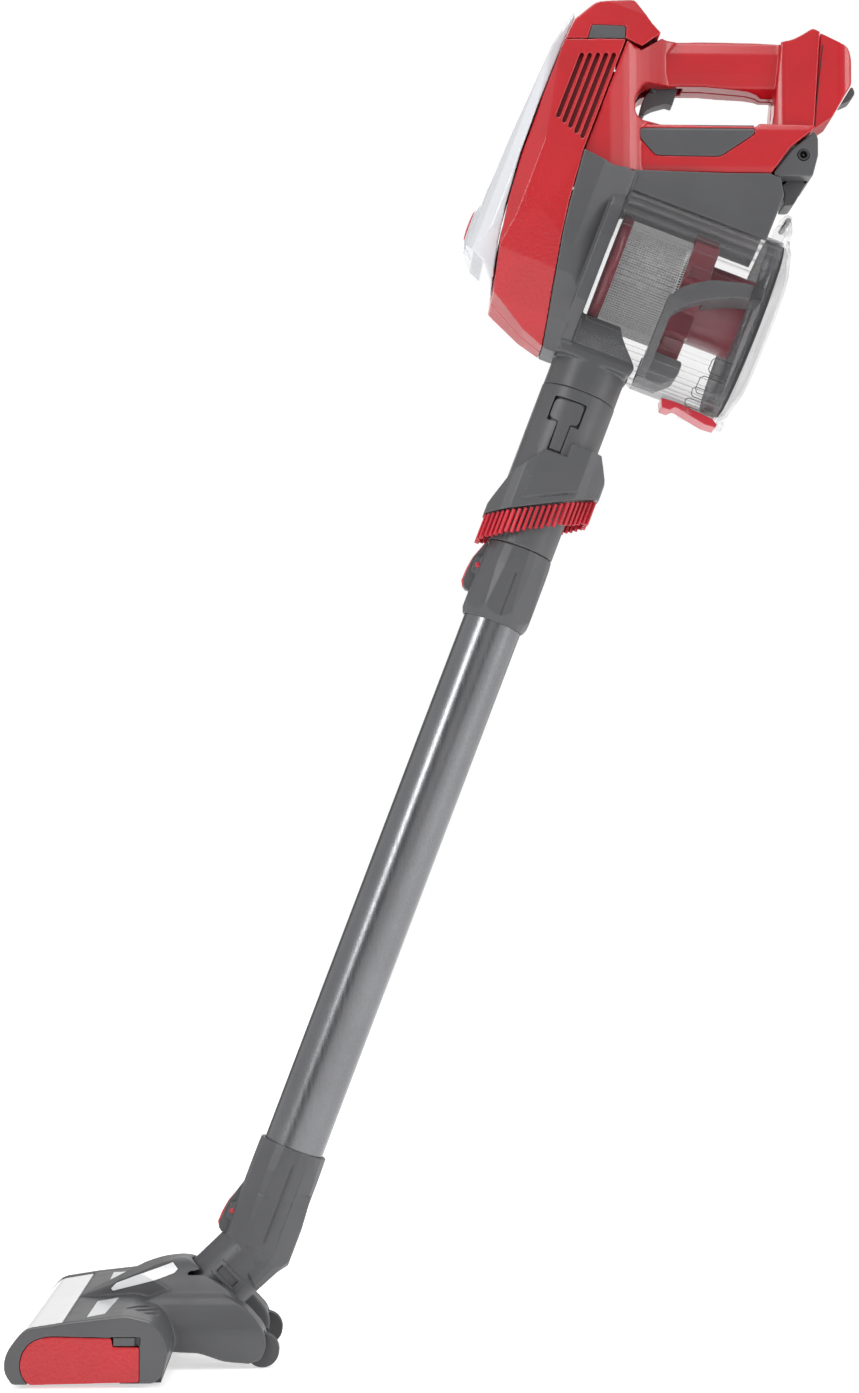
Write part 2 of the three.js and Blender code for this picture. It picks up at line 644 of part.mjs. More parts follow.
function binCup() {
  const wall = ring('x', BIN_RADIUS, BIN_RADIUS - 2, BIN_FRONT, BIN_REAR, [0, BIN_AXIS], 36);
  const lip = ring('x', BIN_RADIUS, 54, BIN_FRONT, BIN_FRONT + 2, [0, BIN_AXIS], 36);
  const pipeRoom = prism('z', outline([
    [-40, -35], [30, -35, 6], [34, -26, 4], [34, 26, 4], [30, 35, 6], [-40, 35],
  ]), 560, PIPE_TOP + 2);
  const knuckles = [-1, 1].map((side) => prism('y', outline([
    [94, 744.4], [102.4, 744.4], [105, 759, 2], [103, 766, 2], [98, 766, 2], [95, 760],
  ]), side * 14 - 4, side * 14 + 4));
  const latchEars = [-1, 1].map((side) => prism('y', outline([
    [76, 606], [76, 597], [84, 597], [84, 606],
  ]), side * 15 - 2, side * 15 + 2));
  const pinBore = rod('y', 2.35, -30, 30, DOOR_HINGE, 16);
  const latchBore = rod('y', 1.65, -30, 30, [80, 600], 12);
  return mesh(
    'bin_cup', cut(join(wall, lip, ...knuckles, ...latchEars), pipeRoom, pinBore, latchBore), clear,
  );
}

function binDoor() {
  const rim = BIN_RADIUS + 2.4;
  const profile = [[0, 14], [28, 13.4], [54, 10.6], [68, 6.4], [rim, 1.6], [rim, 0], [rim - 3, 0],
    [66, 4.4], [53, 8.6], [28, 11.4], [0, 12]];
  const dome = turned('x', profile, [BIN_REAR + 1.6, 0, BIN_AXIS], 36);
  const arm = prism('y', outline([
    [105.2, 744], [109, 744], [108, 757, 2], [104, 766, 3], [98, 766, 2], [98, 758], [105.2, 757],
  ]), -9.4, 9.4);
  const hook = prism('y', outline([[105.2, 606], [105.2, 597, 1], [111, 597, 1], [109, 606]]), -9, 9);
  const pinBore = rod('y', 2.35, -30, 30, DOOR_HINGE, 16);
  return mesh('bin_door', cut(join(dome, arm, hook), pinBore), clear);
}

function doorParts() {
  const pin = rod('y', 2, -18, 18, DOOR_HINGE, 16);
  const seal = ring('x', BIN_RADIUS - 3.4, BIN_RADIUS - 8, BIN_REAR - 3, BIN_REAR + 2.4, [0, BIN_AXIS], 36);
  return [mesh('door_pin', pin, metal()), mesh('door_seal', seal, dark)];
}

function doorLatch() {
  const lever = prism('y', outline([
    [58.4, 601.4], [61.4, 594.6, 1], [67.6, 594.8, 1], [70.7, 598.6, 2], [90, 595, 1], [96, 594, 1],
    [104.8, 594.6], [104.8, 597.4], [100, 600.2], [72, 602.4],
  ]), -12, 12);
  const pin = rod('y', 1.3, -16.6, 16.6, [80, 600], 12);
  return mesh('door_latch', lever.add(pin), red);
}

const FIN_RADIUS = 51;

function cyclone() {
  const screen = ring('x', SHROUD_RADIUS, SHROUD_RADIUS - 1.6, -15, 40, [0, CYCLONE_AXIS]);
  const rim = ring('x', SHROUD_RADIUS + 3, SHROUD_RADIUS - 4, BIN_FRONT + 2.6, -12, [0, CYCLONE_AXIS]);
  const star = [];
  const finCount = 8;
  for (let i = 0; i < 2 * finCount; i += 1) {
    const radius = i % 2 ? CONE_RADIUS + 3 : FIN_RADIUS;
    const angle = (i + 0.3 * (i % 2)) * Math.PI / finCount;
    star.push([radius * Math.cos(angle), CYCLONE_AXIS + radius * Math.sin(angle)]);
  }
  const plate = rod('x', SHROUD_RADIUS - 2, 40.5, 44, [0, CYCLONE_AXIS]);
  const collar = prism('x', outline(star), 40.5, 60);
  const cone = rod('x', CONE_RADIUS, 50, 98, [0, CYCLONE_AXIS]);
  const coneBore = rod('x', CONE_RADIUS - 2, 36, 96, [0, CYCLONE_AXIS]);
  const pleats = ring('x', 36, 14, -11, 38, [0, CYCLONE_AXIS]);
  return [
    mesh('shroud', join(screen, rim), plastic(0xe2e2e2, 0.35)),
    mesh('cyclone_cone', cut(join(plate, collar, cone), coneBore), plastic(WINE, 0.35)),
    mesh('bin_filter', pleats, plastic(0xefece2, 0.95)),
  ];
}

// Curved ramp that leads the air from the pipe mouth round the cone to the door.
function inletDuct() {
  const outer = prism('y', outline([
    [34.6, 608], [52, 608], [64, 618, 4], [64, 632, 4], [52, 632], [34.6, 632],
  ]), -17, 17);
  const inner = prism(
    'y', outline([[30, 610], [51, 610], [60, 619], [60, 640], [48, 640], [48, 630], [30, 630]]), -15,
    15,
  );
  const ramp = prism('y', outline([
    [34.6, 628], [38, 640, 4], [42, 655, 6], [57, 667, 6], [77, 677], [100, 684], [100, 694], [84, 692],
    [60, 685, 6], [42, 673, 6], [34.6, 662, 4],
  ]), 30, 80);
  const foot = prism('x', outline([
    [-15, 610], [-15, 626], [-36, 640], [-36, 664], [-70, 664], [-70, 640], [-30, 610],
  ]), 34.6, 41);
  const binInside = rod('x', BIN_RADIUS - 3, 0, 110, [0, BIN_AXIS], 36);
  const coneRoom = rod('x', CONE_RADIUS + 2, 30, 110, [0, CYCLONE_AXIS])
    .add(rod('x', FIN_RADIUS + 1.4, 30, 61, [0, CYCLONE_AXIS]));
  const body = join(cut(outer, inner), ramp.translate([0, -110, 0]), foot).intersect(binInside);
  return mesh('inlet_duct', cut(body, coneRoom), charcoal);
}

// ---------------------------------------------------------------- brush sleeve (leaned frame)
const SLEEVE_BORE = PIPE_NECK_RADIUS + 0.5;
const SLEEVE_HIGH = PIPE_LOW - GAP;
const COLLAR_PLAN = [
  [-36, -16, 6], [-20, -30, 8], [24, -31.5, 8], [42, -16, 8], [42, 16, 8], [24, 31.5, 8], [-20, 30, 8],
  [-36, 16, 6],
];

function brushSleeve() {
  const barrel = rod('z', 29, 490, SLEEVE_HIGH);
  const flare = prism('z', outline(COLLAR_PLAN), 440, 560);
  const flareSide = prism('y', outline([
    [-37, 470], [-30, 473.6], [42, 511], [41.8, 524, 1], [31.5, 541], [0, 541], [-26.4, 509], [-37, 476],
  ]), -60, 60);
  const bore = rod('z', SLEEVE_BORE, 400, 600);
  const barrelSide = prism(
    'y', outline([[-40, 500], [-20, 490], [40, 522], [40, 600], [-40, 600]]), -60, 60,
  );
  const body = join(barrel.intersect(barrelSide), flare.intersect(flareSide));
  const catchRoom = box([-16.6, -40, 530], [8, -10, 572]);
  return mesh('brush_sleeve', cut(body, bore, catchRoom), charcoal);
}

function brushCatch() {
  const plate = prism('y', outline([
    [-15.6, 555, 3], [-8, 553.6], [-7.4, 532], [0.8, 532], [1, 553.6], [6.6, 555, 3], [6.4, 571, 3],
    [-15.4, 570, 3],
  ]), -30, -10);
  const skin = ring('z', 29, SLEEVE_BORE + 0.3, 500, 600);
  return mesh('brush_catch', plate.intersect(skin), charcoal);
}

function bristleRing() {
  const band = prism('y', outline([
    [-37, 469.4], [-34, 449.4], [40.5, 489.6], [41.4, 510], [-29, 472.9],
  ]), -60, 60);
  const outer = prism('z', outline(inset(COLLAR_PLAN, 1)), 430, 530);
  const inner = rod('z', SLEEVE_BORE + 0.4, 430, 530);
  return mesh('bristle_ring', cut(band.intersect(outer), inner), red);
}

// ---------------------------------------------------------------- wand (leaned frame)
function wandTube() {
  return mesh('wand_tube', ring('z', TUBE_RADIUS, TUBE_RADIUS - TUBE_WALL, TUBE_LOW, TUBE_HIGH), metal());
}

const BUTTON_HIGH = { pivot: [-26.2, 433], low: 413, high: 453 };
const BUTTON_LOW = { pivot: [-25.6, -79.6], low: -97, high: -56 };

function buttonRoom({ pivot, low, high }) {
  return box([pivot[0] - 12, -6.6, low - 0.8], [pivot[0] + 2.6, 6.6, high + 0.8]);
}

function buttonEars({ pivot }) {
  const [x, z] = pivot;
  return prism('y', outline([
    [x - 3.6, z - 6, 2], [x + 6, z - 9], [x + 6, z + 9], [x - 3.6, z + 6, 2],
  ]), -9, 9);
}

// Flattens a round socket into eight faces.
function faceted(body, reach) {
  const faceCount = 8;
  const cornerRadius = reach / Math.cos(Math.PI / faceCount);
  const corners = [];
  for (let i = 0; i < faceCount; i += 1) {
    const angle = (i + 0.5) * 2 * Math.PI / faceCount;
    corners.push([cornerRadius * Math.cos(angle), cornerRadius * Math.sin(angle), 1.5]);
  }
  return body.intersect(prism('z', outline(corners), -300, 600));
}

function wandSocket() {
  const tubeRoom = TUBE_RADIUS + GAP;
  const body = turned('z', [
    [tubeRoom, SOCKET_LOW], [24, SOCKET_LOW], [27.8, 406], [26.6, 440], [25.2, SOCKET_HIGH],
    [21.6, SOCKET_HIGH],
    [21.6, 490], [20, 490], [20, 433], [tubeRoom, 433], [tubeRoom, SOCKET_LOW],
  ]);
  const ears = cut(buttonEars(BUTTON_HIGH), rod('z', 23, 380, 480));
  const pinBore = rod('y', 1.5, -20, 20, BUTTON_HIGH.pivot, 12);
  return mesh(
    'wand_socket', cut(join(faceted(body, 25.8), ears), buttonRoom(BUTTON_HIGH), pinBore), charcoal,
  );
}

function rocker(name, { pivot, low, high }) {
  const [x, z] = pivot;
  const lever = prism('y', outline([
    [x + 1.6, high - 0.6], [x + 0.6, high, 1], [x - 5.6, z + 4, 4], [x - 6.2, low + 4, 2],
    [x - 2.6, low, 1],
    [x + 1.6, low + 0.4],
  ]), -6, 6);
  const pin = rod('y', 1.2, -8.8, 8.8, pivot, 12);
  return mesh(`${name}_button`, lever.add(pin), red);
}

// ---------------------------------------------------------------- neck (leaned frame)
// Where the neck axis leaves the wand axis, in the leaned frame.
const bend = new THREE.Vector3(0, 0, BEND);
const neckTurn = Math.PI / 2 - NECK_ANGLE - LEAN;      // further lean of the neck axis past the wand

function alongNeck(body) {
  return body.rotate([0, THREE.MathUtils.radToDeg(neckTurn), 0]).translate(bend.toArray());
}

const pivotDistance = Math.hypot(
  WAND_FOOT.x + BEND * Math.sin(LEAN) - PIVOT.x, WAND_FOOT.z + BEND * Math.cos(LEAN) - PIVOT.z,
);

function neckElbow() {
  const socket = turned('z', [
    [0, BEND], [25.6, BEND], [27, -80], [26.6, -40], [25.4, ELBOW_RIM], [0, ELBOW_RIM],
  ]);
  const knee = ball(25.6, [0, 0, BEND]);
  const neck = alongNeck(rod('z', NECK_RADIUS, -pivotDistance + 10.5, 0));
  const tubeBore = rod('z', TUBE_RADIUS + GAP, -73, 0);
  const bore = rod('z', 19.5, BEND, -60);
  const kneeBore = ball(19.5, [0, 0, BEND], 12);
  const neckBore = alongNeck(rod('z', 21.3, -pivotDistance - 1, -24).add(rod('z', 19.5, -30, 0)));
  const ballRoom = alongNeck(ball(BALL_RADIUS + 0.8, [0, 0, -pivotDistance]));
  const ears = cut(buttonEars(BUTTON_LOW), rod('z', 23, -120, -20));
  const pinBore = rod('y', 1.5, -20, 20, BUTTON_LOW.pivot, 12);
  const heelPlan = prism(
    'z', outline([[0, -23], [13, -23, 2], [27, -11, 2], [27, 11, 2], [13, 23, 2], [0, 23]]), -140, 0,
  );
  const heel = prism('y', outline([
    [0, -50], [25, -50], [27.4, -80], [27.4, -102.5, 1.5], [21.2, -109.5, 2], [12, -127], [-4, -110],
  ]), -24, 24).intersect(heelPlan).intersect(alongNeck(rod('z', SLOT_HALF - 0.8, -80, 80)));
  const body = join(faceted(socket, 25.6), knee, neck, heel, ears);
  return mesh(
    'neck_elbow',
    cut(body, tubeBore, bore, kneeBore, neckBore, ballRoom, buttonRoom(BUTTON_LOW), pinBore),
    charcoal,
  );
}

function neckClip() {
  const band = ring('z', NECK_RADIUS + 1.8, NECK_RADIUS + GAP, -34, -22);
  const plate = band.intersect(box([-12, -40, -40], [12, 0, 0]));
  const eye = box([-8.5, -40, -31], [8.5, 0, -25]);
  return mesh('neck_clip', alongNeck(plate.subtract(eye)), charcoal);
}

// Low and high y of a piece on one side of the middle plane.
function span(side, inner, outer) {
  return [side * inner, side * outer].sort((a, b) => a - b);
}

function yoke() {
  const body = ball(BALL_RADIUS, [0, 0, -pivotDistance]).add(rod('z', 20.6, -pivotDistance, -25));
  const bore = rod('z', 17, -pivotDistance - 2, 0);
  const mouth = rod('x', 14, -40, 0, [0, -pivotDistance]);
  const pins = [-1, 1].map((side) => join(
    rod('y', 4, ...span(side, 19, 36), [0, -pivotDistance], 16),
    rod('y', 9, ...span(side, 19, SLOT_HALF - 0.5), [0, -pivotDistance], 20),
  ));
  return mesh('yoke', alongNeck(join(cut(body, bore, mouth), ...pins)), charcoal);
}

// ---------------------------------------------------------------- floor head (row frame)
const HEAD_SIDE = [
  [-56, 2.4, 2], [41, 2.8, 2], [47.9, 8.4, 2], [51, 22.5, 2], [48.6, 31, 3], [44.5, 39, 3], [38, 44, 2],
  [22, 48, 4], [-20, 43.4], [-48.9, 39, 5], [-58.9, 26.5, 4], [-61.9, 18, 4], [-61.2, 10, 3],
];
const CAP_INNER = HEAD_HALF_WIDTH - CAP_THICKNESS;
const SHELL_HALF = CAP_INNER - GAP;
const WINDOW_REAR = -23;

function headBlock(shapePoints, half) {
  return prism('y', outline(shapePoints), -half, half);
}

function hump() {
  const side = prism('y', outline([
    [-22, 30], [70, 20], [100, 20], [92, 51, 6], [74, 61, 6], [60, 71.4, 2], [53, 73, 3], [38, 70, 8],
    [22, 63.6, 8], [4, 55, 8], [-22, 43.6],
  ]), -70, 70, 3);
  const top = prism('z', outline([
    [-22, -6, 3], [-4, -17, 6], [22, -26, 8], [46, -38, 8], [66, -50, 6], [100, -52], [100, 52],
    [66, 50, 6],
    [46, 38, 8], [22, 26, 8], [-4, 17, 6], [-22, 6, 3],
  ]), 0, 100, 3);
  const rear = prism(
    'x', mirrored([[56, 20], [54, 34, 8], [42, 49, 8], [31, 61, 8], [19, 70, 6], [6, 73.4, 3]]), -40,
    120, 3,
  );
  return side.intersect(top).intersect(rear);
}

function rearArms() {
  const side = prism('y', outline([
    [30, 6], [48, 12], [69, 11, 4], [86, 5, 4], [104, 3.4], [113, 6, 3], [117, 16, 4], [115, 27, 6],
    [101, 43, 8], [80, 52.5, 8], [56, 57], [30, 46.5],
  ]), -58, 58, 3);
  const rear = prism('x', mirrored([[58, 0], [58, 30, 6], [48, 47, 8], [30, 56], [0, 59]]), 0, 130, 3);
  return side.intersect(rear);
}

function neckSlot() {
  const sweep = box([PIVOT.x, -SLOT_HALF, -10], [140, SLOT_HALF, 100]);
  const room = rod('y', BALL_RADIUS + 1.2, -SLOT_HALF, SLOT_HALF, [PIVOT.x, PIVOT.z]);
  const neckRoom = rod('x', NECK_RADIUS + 1.2, 4, 100).rotate([0, -THREE.MathUtils.radToDeg(NECK_ANGLE), 0])
    .translate([PIVOT.x, 0, PIVOT.z]);
  return join(sweep, room, neckRoom);
}

function wheelRooms() {
  return [-1, 1].map((side) => {
    const y = span(side, WHEEL_SIDES[0] - 0.7, WHEEL_SIDES[1] + 0.5);
    return rod('y', WHEEL_RADIUS + 1, ...y, [WHEEL_AXIS.x, WHEEL_AXIS.z], 16)
      .add(box([WHEEL_AXIS.x - 13, y[0], -5], [WHEEL_AXIS.x + 20, y[1], WHEEL_AXIS.z]));
  });
}

function headShell() {
  const block = headBlock(HEAD_SIDE, SHELL_HALF);
  const windowRoom = box([-80, -113, -10], [WINDOW_REAR, 113, 60]);
  const chamber = rod('y', 18.6, -113, 113, [ROLL_AXIS.x, ROLL_AXIS.z], 16)
    .add(box([ROLL_AXIS.x - 18.6, -113, -10], [ROLL_AXIS.x + 18.6, 113, ROLL_AXIS.z]));
  const rollWay = rod('y', ROLL_RADIUS + 1.3, -140, 0, [ROLL_AXIS.x, ROLL_AXIS.z], 16);
  const rearRoom = prism('y', outline([[-8, -5], [46, -5], [46, 30], [38, 41], [-8, 40.6]]), -111, 111);
  const centreDuct = prism('y', outline([[-14, 14], [60, 14], [60, 54], [20, 54], [-14, 36]]), -14, 14);
  const solePocket = box([-52, -113, -5], [46, 113, 4.4]);
  const beltRoom = prism('y', outline([[-42, 8, 4], [36, 12, 4], [36, 36, 4], [-42, 30, 4]]), 99, 114.6);
  const pinBore = rod('y', 4.3, -37, 37, [PIVOT.x, PIVOT.z], 20);
  const axleBore = rod('y', 2.4, -50, 50, [WHEEL_AXIS.x, WHEEL_AXIS.z], 16);
  const armRoom = [-1, 1].map((side) => {
    const y = span(side, 40, 52);
    return box([58, y[0], 0], [88, y[1], 36]);
  });
  const body = join(block, hump(), rearArms());
  return mesh('head_shell', cut(
    body, windowRoom, chamber, rollWay, rearRoom, centreDuct, solePocket, beltRoom, neckSlot(),
    pinBore, axleBore, ...armRoom, ...wheelRooms(), ...rollerRooms(),
  ), charcoal);
}

function rollerRooms() {
  return [-1, 1].map((side) => box([-15, side * 96 - 7.5, -2], [-1, side * 96 + 7.5, 10]));
}

function headWindow() {
  const outer = [
    [-56.6, 4.4], [-58.4, 4.6], [-60.9, 11, 2], [-61.4, 19, 3], [-58.4, 27, 4], [-48.6, 38.6, 4],
    [WINDOW_REAR - GAP, 42.6],
    [WINDOW_REAR - GAP, 40.4], [-47.8, 36.6, 3], [-56.6, 26, 3], [-59.2, 19, 2], [-58.8, 12, 2],
  ];
  return mesh('window', prism('y', outline(outer), -112.6, 112.6), clear);
}

const COVER_OUTLINE = [
  [-44.5, 2.2, 2], [31.2, 3.6, 1], [31.2, 27.4, 1], [13, 27.6, 1], [12, 33.6, 1], [-34, 35, 6],
  [-46, 30, 6],
  [-51, 19, 6], [-50, 9, 4],
];

function endCap(side) {
  const body = prism('y', outline(HEAD_SIDE), ...span(side, CAP_INNER, HEAD_HALF_WIDTH));
  if (side > 0) return mesh('end_cap_right', body, charcoal);
  const room = prism('y', outline(inset(COVER_OUTLINE, -GAP)), -140, -100);
  const slideRoom = box([11, -140, 27.9], [32, -121, 34.4]);
  return mesh('end_cap_left', cut(body, room, slideRoom), charcoal);
}

function brushCover() {
  const plate = prism('y', outline(COVER_OUTLINE), -HEAD_HALF_WIDTH, -CAP_INNER - 0.4);
  const hub = rod('y', 5, -CAP_INNER - 2, -108, [ROLL_AXIS.x, ROLL_AXIS.z], 20);
  return mesh('brush_cover', plate.add(hub), red);
}

function brushRelease() {
  return mesh('brush_release', box([13.4, -124.4, 28.3], [28, -121.3, 34]), charcoal);
}

function brushRoll() {
  const core = rod('y', 10.5, -112, 98, [ROLL_AXIS.x, ROLL_AXIS.z], 24);
  const bore = rod('y', 5.5, -120, -104, [ROLL_AXIS.x, ROLL_AXIS.z], 20);
  const socket = prism('y', outline([[-5, -5], [5, -5], [5, 5], [-5, 5]].map(
    ([x, z]) => [ROLL_AXIS.x + x, ROLL_AXIS.z + z],
  )), 88, 110);
  const rowCount = 4;
  const stepCount = 6;
  const rows = [];
  for (let row = 0; row < rowCount; row += 1) {
    for (let step = 0; step < stepCount; step += 1) {
      const low = -104 + step * 198 / stepCount;
      const angle = 360 * row / rowCount + step * 28;
      const strip = box([-1.2, low - 0.6, 8], [1.2, low + 198 / stepCount + 0.6, ROLL_RADIUS]);
      rows.push(strip.rotate([0, angle, 0]).translate([ROLL_AXIS.x, 0, ROLL_AXIS.z]));
    }
  }
  return mesh('brush_roll', cut(join(core, ...rows), bore, socket), plastic(0x2e2f33, 0.8));
}

function driveTrain() {
  const square = prism('y', outline([[-4.4, -4.4], [4.4, -4.4], [4.4, 4.4], [-4.4, 4.4]].map(
    ([x, z]) => [ROLL_AXIS.x + x, ROLL_AXIS.z + z],
  )), 89, 101);
  const pulley = rod('y', 9, 100.5, 111.5, [ROLL_AXIS.x, ROLL_AXIS.z], 24).add(square);
  const pinion = rod('y', 6, 100.5, 111, [DRIVE_AXIS.x, DRIVE_AXIS.z], 20)
    .add(rod('y', 2, 90, 101, [DRIVE_AXIS.x, DRIVE_AXIS.z], 12));
  const can = rod('y', 13.4, 34, 96, [DRIVE_AXIS.x, DRIVE_AXIS.z], 24)
    .subtract(rod('y', 2.4, 88, 97, [DRIVE_AXIS.x, DRIVE_AXIS.z], 12));
  return [
    mesh('roll_pulley', pulley, dark), mesh('motor_pinion', pinion, metal()),
    mesh('drive_belt', beltLoop(), plastic(0x1c1c1e, 0.8)), mesh('head_motor', can, metal()),
  ];
}

// Belt: the hull outline of two circles, less the same outline with smaller circles.
function beltLoop() {
  const dx = DRIVE_AXIS.x - ROLL_AXIS.x;
  const dz = DRIVE_AXIS.z - ROLL_AXIS.z;
  const reach = Math.hypot(dx, dz);
  const loop = (grow) => {
    const big = 9 + grow;
    const small = 6 + grow;
    const heading = Math.atan2(dz, dx);
    const spread = Math.acos((big - small) / reach);
    const shape = new THREE.Shape();
    shape.absarc(ROLL_AXIS.x, ROLL_AXIS.z, big, heading + spread, heading - spread + 2 * Math.PI, false);
    shape.absarc(DRIVE_AXIS.x, DRIVE_AXIS.z, small, heading - spread, heading + spread, false);
    return shape;
  };
  return prism('y', loop(1.7), 102, 110, 6).subtract(prism('y', loop(GAP), 100, 112, 6));
}

function solePlate() {
  const plate = box([-56, -112.4, 1.2], [45.6, 112.4, 4]);
  const slot = box([-51, -106, -5], [-13, 106, 10]);
  const lip = box([-70, -113, -5], [-50, 113, 3]);
  const rollWay = box([ROLL_AXIS.x - 8, -113, -5], [ROLL_AXIS.x + 8, -105, 5]);
  return mesh('sole_plate', cut(plate, slot, lip, rollWay, ...rollerRooms()), dark);
}

function glideStrip() {
  return mesh('glide_strip', box([-5, -60, 0], [5, 60, 0.85]), dark);
}

function wheels() {
  const made = [];
  for (const [side, label] of [[-1, 'left'], [1, 'right']]) {
    const centre = [WHEEL_AXIS.x, WHEEL_AXIS.z];
    const wheel = rod('y', WHEEL_RADIUS, ...span(side, ...WHEEL_SIDES), centre, 28)
      .add(rod('y', 2, ...span(side, 36, WHEEL_SIDES[0] + 1), centre, 12));
    made.push(mesh(`rear_wheel_${label}`, wheel, dark));
    const roller = rod('y', 5, side * 96 - 5, side * 96 + 5, [-8, 5], 20);
    const stub = rod('y', 1.5, side * 96 - 6.8, side * 96 + 6.8, [-8, 5], 12);
    made.push(mesh(`front_roller_${label}`, roller.add(stub), dark));
  }
  return made;
}

leaned.add(
  ...motorCasing(), topCap(), ...coverLatches(), frontCover(), frontBadge(), motor(), impeller(),
  motorFilter(), controlBoard(), casingRear(), binCup(), binDoor(), ...doorParts(), doorLatch(),
  ...cyclone(),
  inletDuct(), brushSleeve(), brushCatch(), bristleRing(), wandTube(), wandSocket(),
  rocker('upper', BUTTON_HIGH), neckElbow(), rocker('lower', BUTTON_LOW), neckClip(), yoke(),
);
level.add(
  ...handleHalves(), mesh('bridge_cover', bridgeCoverShape(0), charcoal), trigger(), triggerSwitch(),
  batteryCase(), cellPack(),
  chargeSocket(), batteryLatch(), creviceTool(), creviceCap(), creviceTab(),
);
vacuum.add(
  headShell(), headWindow(), endCap(-1), endCap(1), brushCover(), brushRelease(), brushRoll(),
  ...driveTrain(),
  solePlate(), glideStrip(), ...wheels(),
);

export default vacuum;
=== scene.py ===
import json
import math
import random

import bmesh
import bpy
import numpy as np
from mathutils import Matrix, Vector


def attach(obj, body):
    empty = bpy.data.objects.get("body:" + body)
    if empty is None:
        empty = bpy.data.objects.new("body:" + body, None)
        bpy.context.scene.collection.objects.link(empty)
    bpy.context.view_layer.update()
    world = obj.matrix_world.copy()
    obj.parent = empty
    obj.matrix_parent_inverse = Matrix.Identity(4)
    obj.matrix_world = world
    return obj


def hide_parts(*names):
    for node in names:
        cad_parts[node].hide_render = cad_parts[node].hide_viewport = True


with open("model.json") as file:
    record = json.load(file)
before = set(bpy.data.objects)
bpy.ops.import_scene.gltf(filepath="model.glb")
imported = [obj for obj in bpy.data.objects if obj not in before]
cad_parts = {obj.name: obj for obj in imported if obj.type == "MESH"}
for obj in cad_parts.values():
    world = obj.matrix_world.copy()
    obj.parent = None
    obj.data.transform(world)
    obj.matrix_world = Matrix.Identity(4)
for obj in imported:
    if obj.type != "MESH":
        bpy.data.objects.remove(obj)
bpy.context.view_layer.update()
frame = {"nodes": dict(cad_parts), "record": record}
random.seed(7)

MM = 0.001
LEAN = math.radians(20.8)
SIN, COS = math.sin(LEAN), math.cos(LEAN)
WAND_ORIGIN = (142.1, 171.2)  # x and z of the point of the wand axis that leaned() counts from
HANDLE_ORIGIN = (419.083, 900.364)  # x and z of the point that level() counts from
NECK_ANGLE = math.radians(43.4)
PIVOT = Vector((67, 0, 41.5)) * MM  # where the neck swivels and tilts
WHEEL_AXLE = Vector((113.8, 0, 12)) * MM
WHEEL_RADIUS = 12
WHEEL_SIDES = (42.5, 52.5)
BIN_AXIS = 675  # height of the bin's axis up the wand
CYCLONE_AXIS = 681
BIN_RADIUS = 72
BIN_INSIDE = 70
TUBE_RADIUS = 22.5
BUTTON_PIVOTS = {"upper": (-26.2, 433), "lower": (-25.6, -79.6)}
BUTTON_FEET = {"upper": 413, "lower": -97}
TUFT_COUNT = 56
TUFT_LENGTH_SPREAD = 1.2
FOLD_COUNT = 60

CAMERA_PLACE = (0.177394, -1.950, 0.350493)
CAMERA_PITCH = 93.993
CAMERA_YAW = -1.703
CAMERA_LENS = 67.19

BODY_OF = {n: b for b, nodes in frame["record"]["behaviour"]["bodies"].items() for n in nodes}
SLOT_OF = {s["node"]: s["material_slot"] for s in frame["record"]["subparts"]}


# ---------------------------------------------------------------- places
def leaned(v, w, y=0.0):
    """A point v mm behind the wand axis and w mm up it."""
    x, z = WAND_ORIGIN
    return Vector((x + COS * v + SIN * w, y, z - SIN * v + COS * w)) * MM


def level(a, b, y=0.0):
    """A point a mm behind and b mm above the handle's own origin."""
    x, z = HANDLE_ORIGIN
    return Vector((x + a, y, z + b)) * MM


UP_WAND = Vector((SIN, 0, COS))
REARWARD = Vector((COS, 0, -SIN))
SIDEWAYS = Vector((0, 1, 0))
LEANED_AXES = Matrix((REARWARD, SIDEWAYS, UP_WAND)).transposed().to_4x4()
NECK_AXIS = Vector((math.cos(NECK_ANGLE), 0, math.sin(NECK_ANGLE)))


# ---------------------------------------------------------------- materials
def nodes_of(material):
    tree = material.node_tree
    return tree, tree.nodes, tree.links


def glow(material, strength):
    """Adds white emission. On the head window and the white plastic it is a painted glow that lightens them
    without any lamp; on the floor it keeps the floor evenly white.
    """
    shader = material.node_tree.nodes["Principled BSDF"]
    shader.inputs["Emission Color"].default_value = (1, 1, 1, 1)
    shader.inputs["Emission Strength"].default_value = strength


def noise(tree, coords, scale, detail=3.0, roughness=0.5, stretch=None):
    node = tree.nodes.new("ShaderNodeTexNoise")
    node.inputs["Scale"].default_value = scale
    node.inputs["Detail"].default_value = detail
    node.inputs["Roughness"].default_value = roughness
    if stretch:
        mapping = tree.nodes.new("ShaderNodeMapping")
        mapping.inputs["Rotation"].default_value = (0, -LEAN, 0)
        mapping.inputs["Scale"].default_value = stretch
        tree.links.new(coords, mapping.inputs["Vector"])
        coords = mapping.outputs["Vector"]
    tree.links.new(coords, node.inputs["Vector"])
    return node.outputs["Fac"]


def spread(tree, value, low, high, start=0.3, end=0.7):
    node = tree.nodes.new("ShaderNodeMapRange")
    node.inputs["From Min"].default_value = start
    node.inputs["From Max"].default_value = end
    node.inputs["To Min"].default_value = low
    node.inputs["To Max"].default_value = high
    tree.links.new(value, node.inputs["Value"])
    return node.outputs["Result"]


def mixed(tree, factor, first, second):
    node = tree.nodes.new("ShaderNodeMix")
    node.data_type = "RGBA"
    tree.links.new(factor, node.inputs["Factor"])
    for socket, value in ((node.inputs["A"], first), (node.inputs["B"], second)):
        if isinstance(value, tuple):
            socket.default_value = (*value, 1)
        else:
            tree.links.new(value, socket)
    return node.outputs["Result"]


